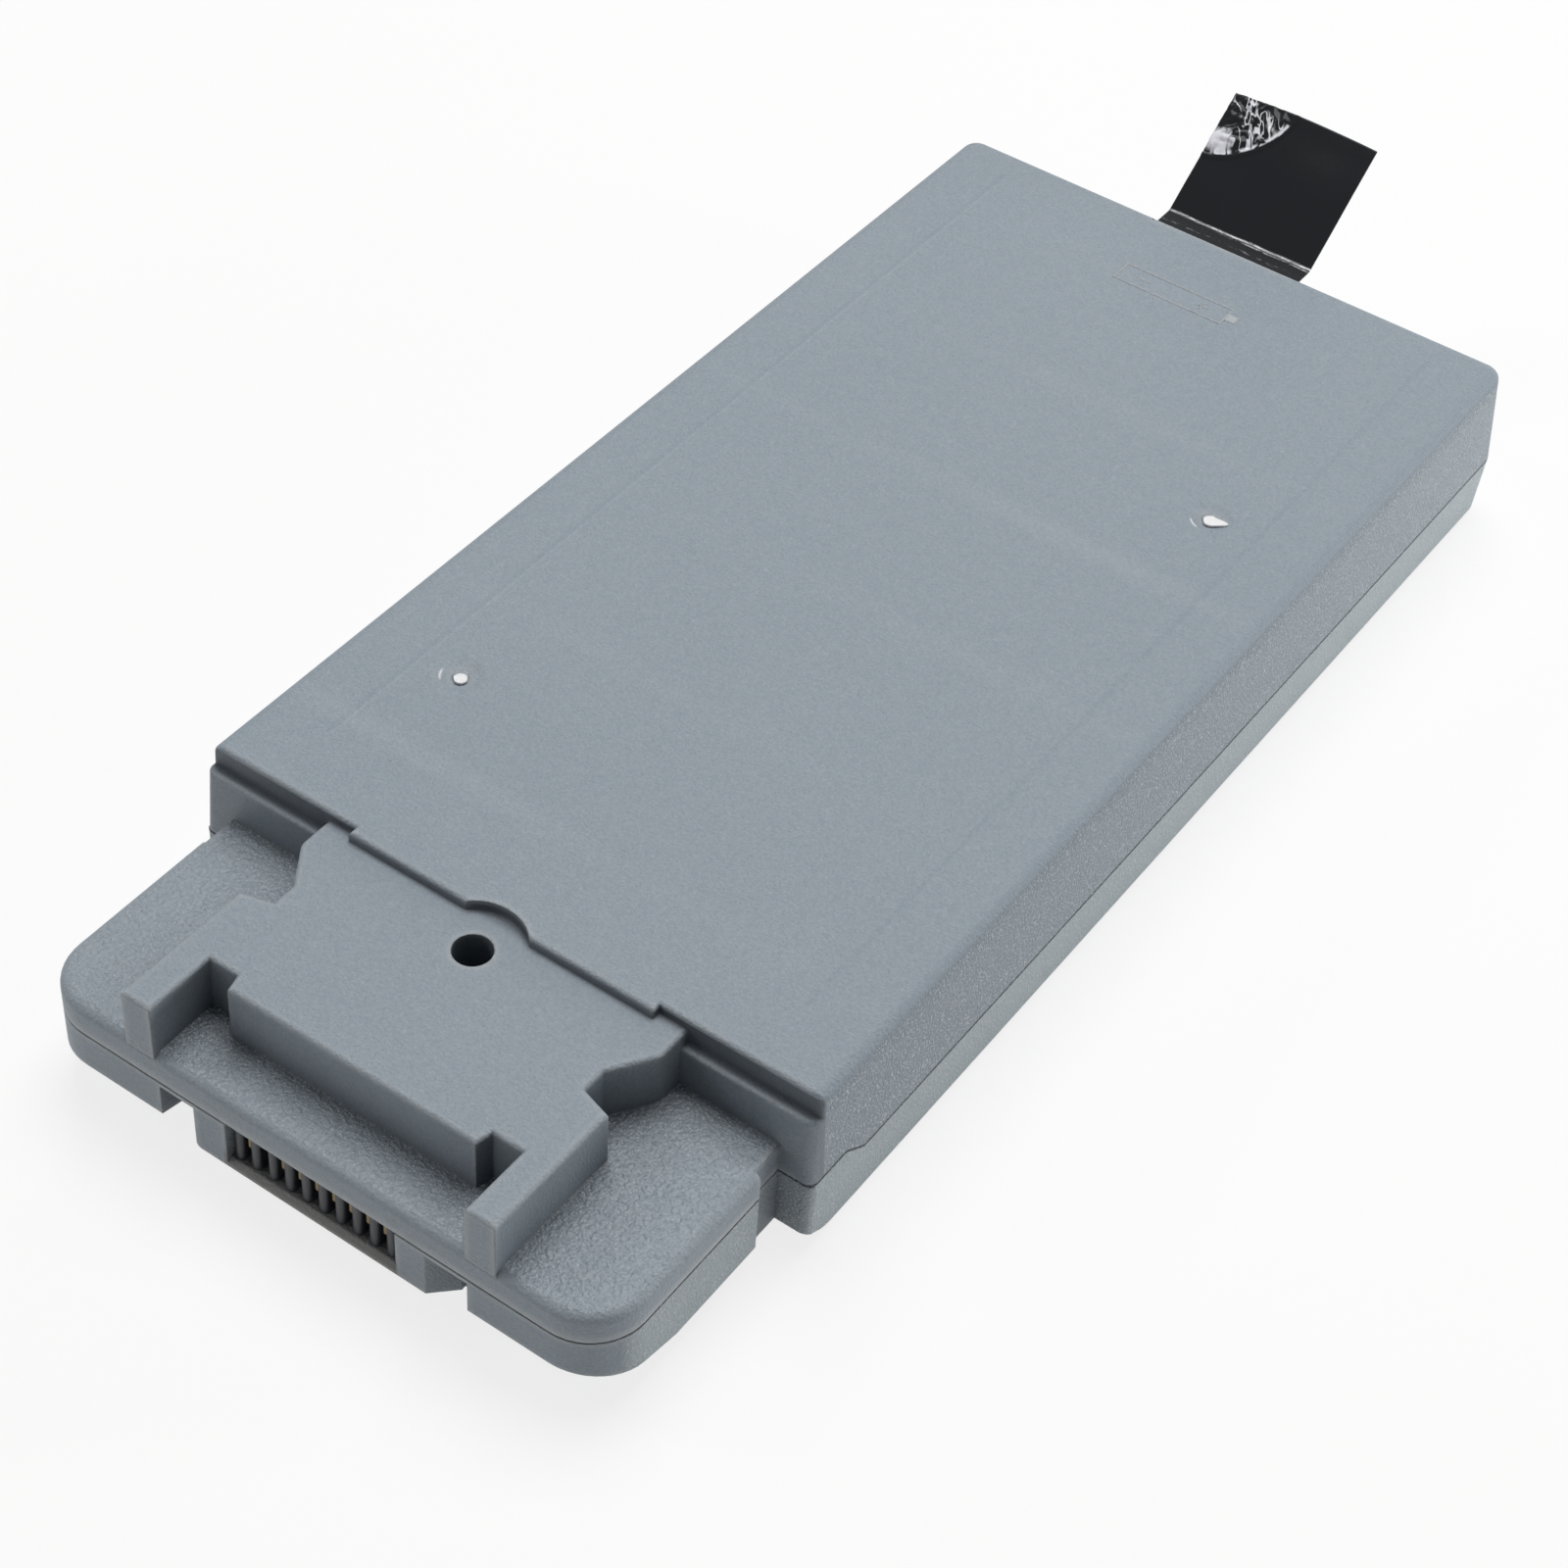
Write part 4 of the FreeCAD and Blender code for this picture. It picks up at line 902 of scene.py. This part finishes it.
def film_finish():
    finish = Finish("black_film", IOR=1.45, Specular_IOR_Level=0.22)
    threads = finish.grain(0.35 * MM, detail=3.0, roughness=0.7, stretch=(0.3, 1.0, 1.0))
    wander = (finish.grain(5 * MM, detail=1.0) - 0.5) * 0.5 * MM
    along = finish.y - CREASE_Y + wander
    flakes = threads.above(0.46, 7)
    on_right = finish.x.past(SECOND_FROM, SECOND_RUN)
    crease = along.near(0.0, CREASE_REACH) * (CREASE_WHOLE + CREASE_FLAKES * flakes)
    second = along.near(SECOND_CREASE, SECOND_REACH) * flakes * on_right
    scuffs = along.near(SCUFFS, SCUFFS_REACH) * threads.above(0.54, 8) * SCUFFS_SHARE
    cloud = finish.grain(6 * MM)
    # The white crease and scuffs, with the painted highlights of the corner
    worn_and_glints = (crease + second * SECOND_SHARE + scuffs + corner_glints(finish)).clamp()
    black = finish.mix(cloud, BLACK, BLACK_CLOUD)
    finish.set("Base Color", finish.mix(worn_and_glints, black, FILM_WORN_AND_GLINT))
    finish.set("Roughness", 0.15 + cloud * 0.06 + worn_and_glints * 0.1)
    finish.set("Normal", finish.bump(finish.grain(0.5 * MM), 0.01 * MM))
    return finish.material


film = add_piece("film_tab", make_film(), film_finish())
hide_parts("pull_tab")

# %% [markdown]
# ## Gate stubs
# Two gates fed the top shell. Each was torn off and left a white stub in its shallow dish, because
# the plastic turns white where it is stretched. A stub is a low cone with a ragged top, and the
# one on the right was smeared sideways by the cutter.

# %% Gate stubs
STUB_HEIGHT = 0.24 * MM
STUB_RADIUS = 0.70 * MM
STUB_SIDES = 28
STUB_SINK = 0.12 * MM
STUB_SHIFT = Vector((0.33, -0.38, 0)) * MM
STUB_RIM = 0.22 * STUB_RADIUS
STUB_RIM_DEPTH = -0.04 * MM
RAGGED_SIZE = 0.5 * MM
RAGGED_SHARE = 0.10
RAGGED_HEIGHT = 0.04 * MM
BROKEN_EDGE = 0.03 * MM
SMEAR = Vector((0.80, 0.28)) * MM
SMEAR_SPREAD = 1.15
SMEAR_POWER = 4


def make_stub(place, smear):
    shape = bmesh.new()
    bmesh.ops.create_circle(shape, cap_ends=True, radius=STUB_RADIUS, segments=STUB_SIDES)
    top = bmesh.ops.extrude_face_region(shape, geom=shape.faces[:])["geom"]
    raised = [item for item in top if isinstance(item, bmesh.types.BMVert)]
    bmesh.ops.translate(shape, verts=raised, vec=UP * STUB_HEIGHT)
    faces = [item for item in top if isinstance(item, bmesh.types.BMFace)]
    bmesh.ops.inset_region(shape, faces=faces, thickness=STUB_RIM, depth=STUB_RIM_DEPTH)
    for vert in shape.verts:
        rough = noise.noise(vert.co / RAGGED_SIZE + place / MM)
        vert.co.xy *= 1 + RAGGED_SHARE * rough
        if vert.co.z > STUB_HEIGHT / 2:
            vert.co.z += RAGGED_HEIGHT * rough
        if smear:
            pull = max(0.0, vert.co.xy.normalized().dot(SMEAR.normalized()))
            vert.co.xy *= SMEAR_SPREAD
            vert.co.xy += SMEAR * pull ** SMEAR_POWER * vert.co.xy.length / STUB_RADIUS
    bmesh.ops.bevel(shape, geom=shape.edges[:], offset=BROKEN_EDGE, segments=1, profile=0.5,
                    affect="EDGES", material=-1)
    bmesh.ops.translate(shape, verts=shape.verts, vec=place - UP * STUB_SINK)
    return shape


def stub_finish():
    finish = Finish("torn_plastic", Roughness=0.55)
    torn = finish.grain(0.4 * MM, detail=3.0)
    finish.set("Base Color", finish.mix(torn, (0.76, 0.77, 0.79), (0.94, 0.94, 0.95)))
    finish.set("Normal", finish.bump(torn, 0.06 * MM))
    return finish.material


torn_plastic = stub_finish()
for side, place in GATES.items():
    stub = make_stub(place + STUB_SHIFT, smear=side == "right")
    add_piece("gate_stub_" + side, stub, torn_plastic, smooth=False)

# %% [markdown]
# ## Battery sign
# By the pull tab the mould left a faint raised sign. Here it is a plain drawing of a battery cell:
# an outline with a terminal at one end, a plus and a minus. It stands only a few hundredths of a
# millimetre high, so it shows by its edges alone.

# %% Battery sign
SIGN_MIDDLE = Vector((-0.6 * MM, LIP + 122.6 * MM, TOP))
SIGN_LENGTH = 14.0 * MM
SIGN_HEIGHT = 3.2 * MM
STROKE = 0.30 * MM
RELIEF = 0.03 * MM
TERMINAL_LENGTH = 1.3 * MM
TERMINAL_PLACE = 0.8 * MM
# Shares of the sign's half length, and of its height
MARK_PLACE = 0.55
MARK_LENGTH = 0.45
UPRIGHT_PLACE = 0.145
UPRIGHT_LENGTH = 0.16


def bar(shape, middle, length, height):
    """One raised stroke of the sign."""
    size = Matrix.Diagonal((length, height, 2 * RELIEF, 1.0))
    bmesh.ops.create_cube(shape, size=1.0, matrix=Matrix.Translation(SIGN_MIDDLE + middle) @ size)


def make_sign():
    shape = bmesh.new()
    half = SIGN_LENGTH / 2
    edge = SIGN_HEIGHT / 2
    mark = SIGN_HEIGHT * MARK_LENGTH
    for side in (-1, 1):
        bar(shape, Vector((0, side * edge, 0)), SIGN_LENGTH + STROKE, STROKE)
        bar(shape, Vector((side * half, 0, 0)), STROKE, SIGN_HEIGHT - STROKE)
        bar(shape, Vector((side * half * MARK_PLACE, 0, 0)), mark, STROKE)
    bar(shape, Vector((half + TERMINAL_PLACE, 0, 0)), TERMINAL_LENGTH, mark)
    for side in (-1, 1):
        upright = Vector((half * MARK_PLACE, side * SIGN_HEIGHT * UPRIGHT_PLACE, 0))
        bar(shape, upright, STROKE, SIGN_HEIGHT * UPRIGHT_LENGTH)
    return shape


add_piece("battery_sign", make_sign(), case, smooth=False)

# %% [markdown]
# ## Floor and light
# A plain white floor carries the pack and keeps its shadow. A soft key hangs overhead, a little
# behind the pack, so the steep faces are lit mostly by what the floor throws back at them and the
# faces in the recesses fall into shade. The surroundings add a faint warm fill. Together they light
# a level face at just the level at which a colour looks as it is written. In the photograph the
# white table shines up at the steep faces more than a floor here can, so two weak lamps stand low
# down for it, one at the right and one in front. A small lamp at the left draws the bright glints
# on the pebbled floor of the tongue.


# %% Rays that see white
def seeing_rays(tree):
    """One for the rays that show the background itself, nothing for the light it throws."""
    rays = tree.nodes.new("ShaderNodeLightPath")
    seen = Value(tree, rays.outputs["Is Camera Ray"]) + Value(tree, rays.outputs["Is Glossy Ray"])
    return (seen + Value(tree, rays.outputs["Is Transmission Ray"])).clamp()


def mix_shaders(tree, factor, first, second):
    """A blend of two shaders' outputs."""
    blend = tree.nodes.new("ShaderNodeMixShader")
    feed(tree, factor, blend.inputs[0])
    tree.links.new(first, blend.inputs[1])
    tree.links.new(second, blend.inputs[2])
    return blend.outputs[0]


print("the background can be seen white")

# %% Floor
FLOOR_HALF = 6.0
FLOOR_CLOUD = 0.05
FLOOR_WHITE = 0.80


def floor_finish():
    finish = Finish("floor_paint", Roughness=0.9, Specular_IOR_Level=0.0)
    tone = finish.grain(FLOOR_CLOUD)
    finish.set("Base Color", finish.mix(tone, (0.94, 0.94, 0.94), (0.96, 0.96, 0.96)))
    tree = finish.tree
    paint = finish.shader.outputs[0]
    white = tree.nodes.new("ShaderNodeEmission").outputs[0]
    clear = tree.nodes.new("ShaderNodeBsdfTransparent").outputs[0]
    seen_floor = mix_shaders(tree, seeing_rays(tree) * FLOOR_WHITE, paint, white)
    from_below = finish.add("NewGeometry", output="Backfacing")
    surface = mix_shaders(tree, from_below, seen_floor, clear)
    tree.links.new(surface, tree.nodes["Material Output"].inputs[0])
    return finish.material


def make_floor():
    shape = bmesh.new()
    bmesh.ops.create_grid(shape, x_segments=1, y_segments=1, size=FLOOR_HALF)
    mesh = bpy.data.meshes.new("floor")
    shape.to_mesh(mesh)
    shape.free()
    mesh.materials.append(floor_finish())
    floor = bpy.data.objects.new("floor", mesh)
    scene.collection.objects.link(floor)


make_floor()
print("floor laid")

# %% Light
FILL = 0.07
FILL_COLOUR = (1.0, 0.94, 0.86, 1.0)
WHITE = (1.0, 1.0, 1.0, 1.0)
# Each lamp: its place, the point it shines at, its size and its watts
LAMPS = {
    "key": (Vector((-0.12, 0.30, 0.97)), Vector((0, 0, 0.01)), 0.70, 9.1),
    "side": (Vector((0.33, 0.22, 0.07)), Vector((0.03, 0.03, 0.005)), 0.10, 0.60),
    "front": (Vector((-0.10, -0.46, 0.06)), Vector((0, -0.08, 0.01)), 0.12, 0.10),
    "glint": (Vector((-0.75, -0.35, 0.62)), Vector((0, 0.05, 0.02)), 0.13, 1.0),
}


def make_world():
    world = bpy.data.worlds.new("surroundings")
    world.use_nodes = True
    tree = world.node_tree
    fill = tree.nodes["Background"]
    seen = tree.nodes.new("ShaderNodeBackground")
    for background, colour, strength in ((fill, FILL_COLOUR, FILL), (seen, WHITE, 1.0)):
        background.inputs["Color"].default_value = colour
        background.inputs["Strength"].default_value = strength
    surroundings = mix_shaders(tree, seeing_rays(tree), fill.outputs[0], seen.outputs[0])
    tree.links.new(surroundings, tree.nodes["World Output"].inputs[0])
    scene.world = world


def make_lamp(name, place, aim, size, watts):
    data = bpy.data.lights.new(name, "AREA")
    data.shape = "SQUARE"
    data.size = size
    data.energy = watts
    lamp = bpy.data.objects.new(name, data)
    lamp.location = place
    lamp.rotation_mode = "QUATERNION"
    lamp.rotation_quaternion = (aim - place).to_track_quat("-Z", "Y")
    scene.collection.objects.link(lamp)
    print(name, "lamp of", watts, "watts")


make_world()
for name, (place, aim, size, watts) in LAMPS.items():
    make_lamp(name, place, aim, size, watts)
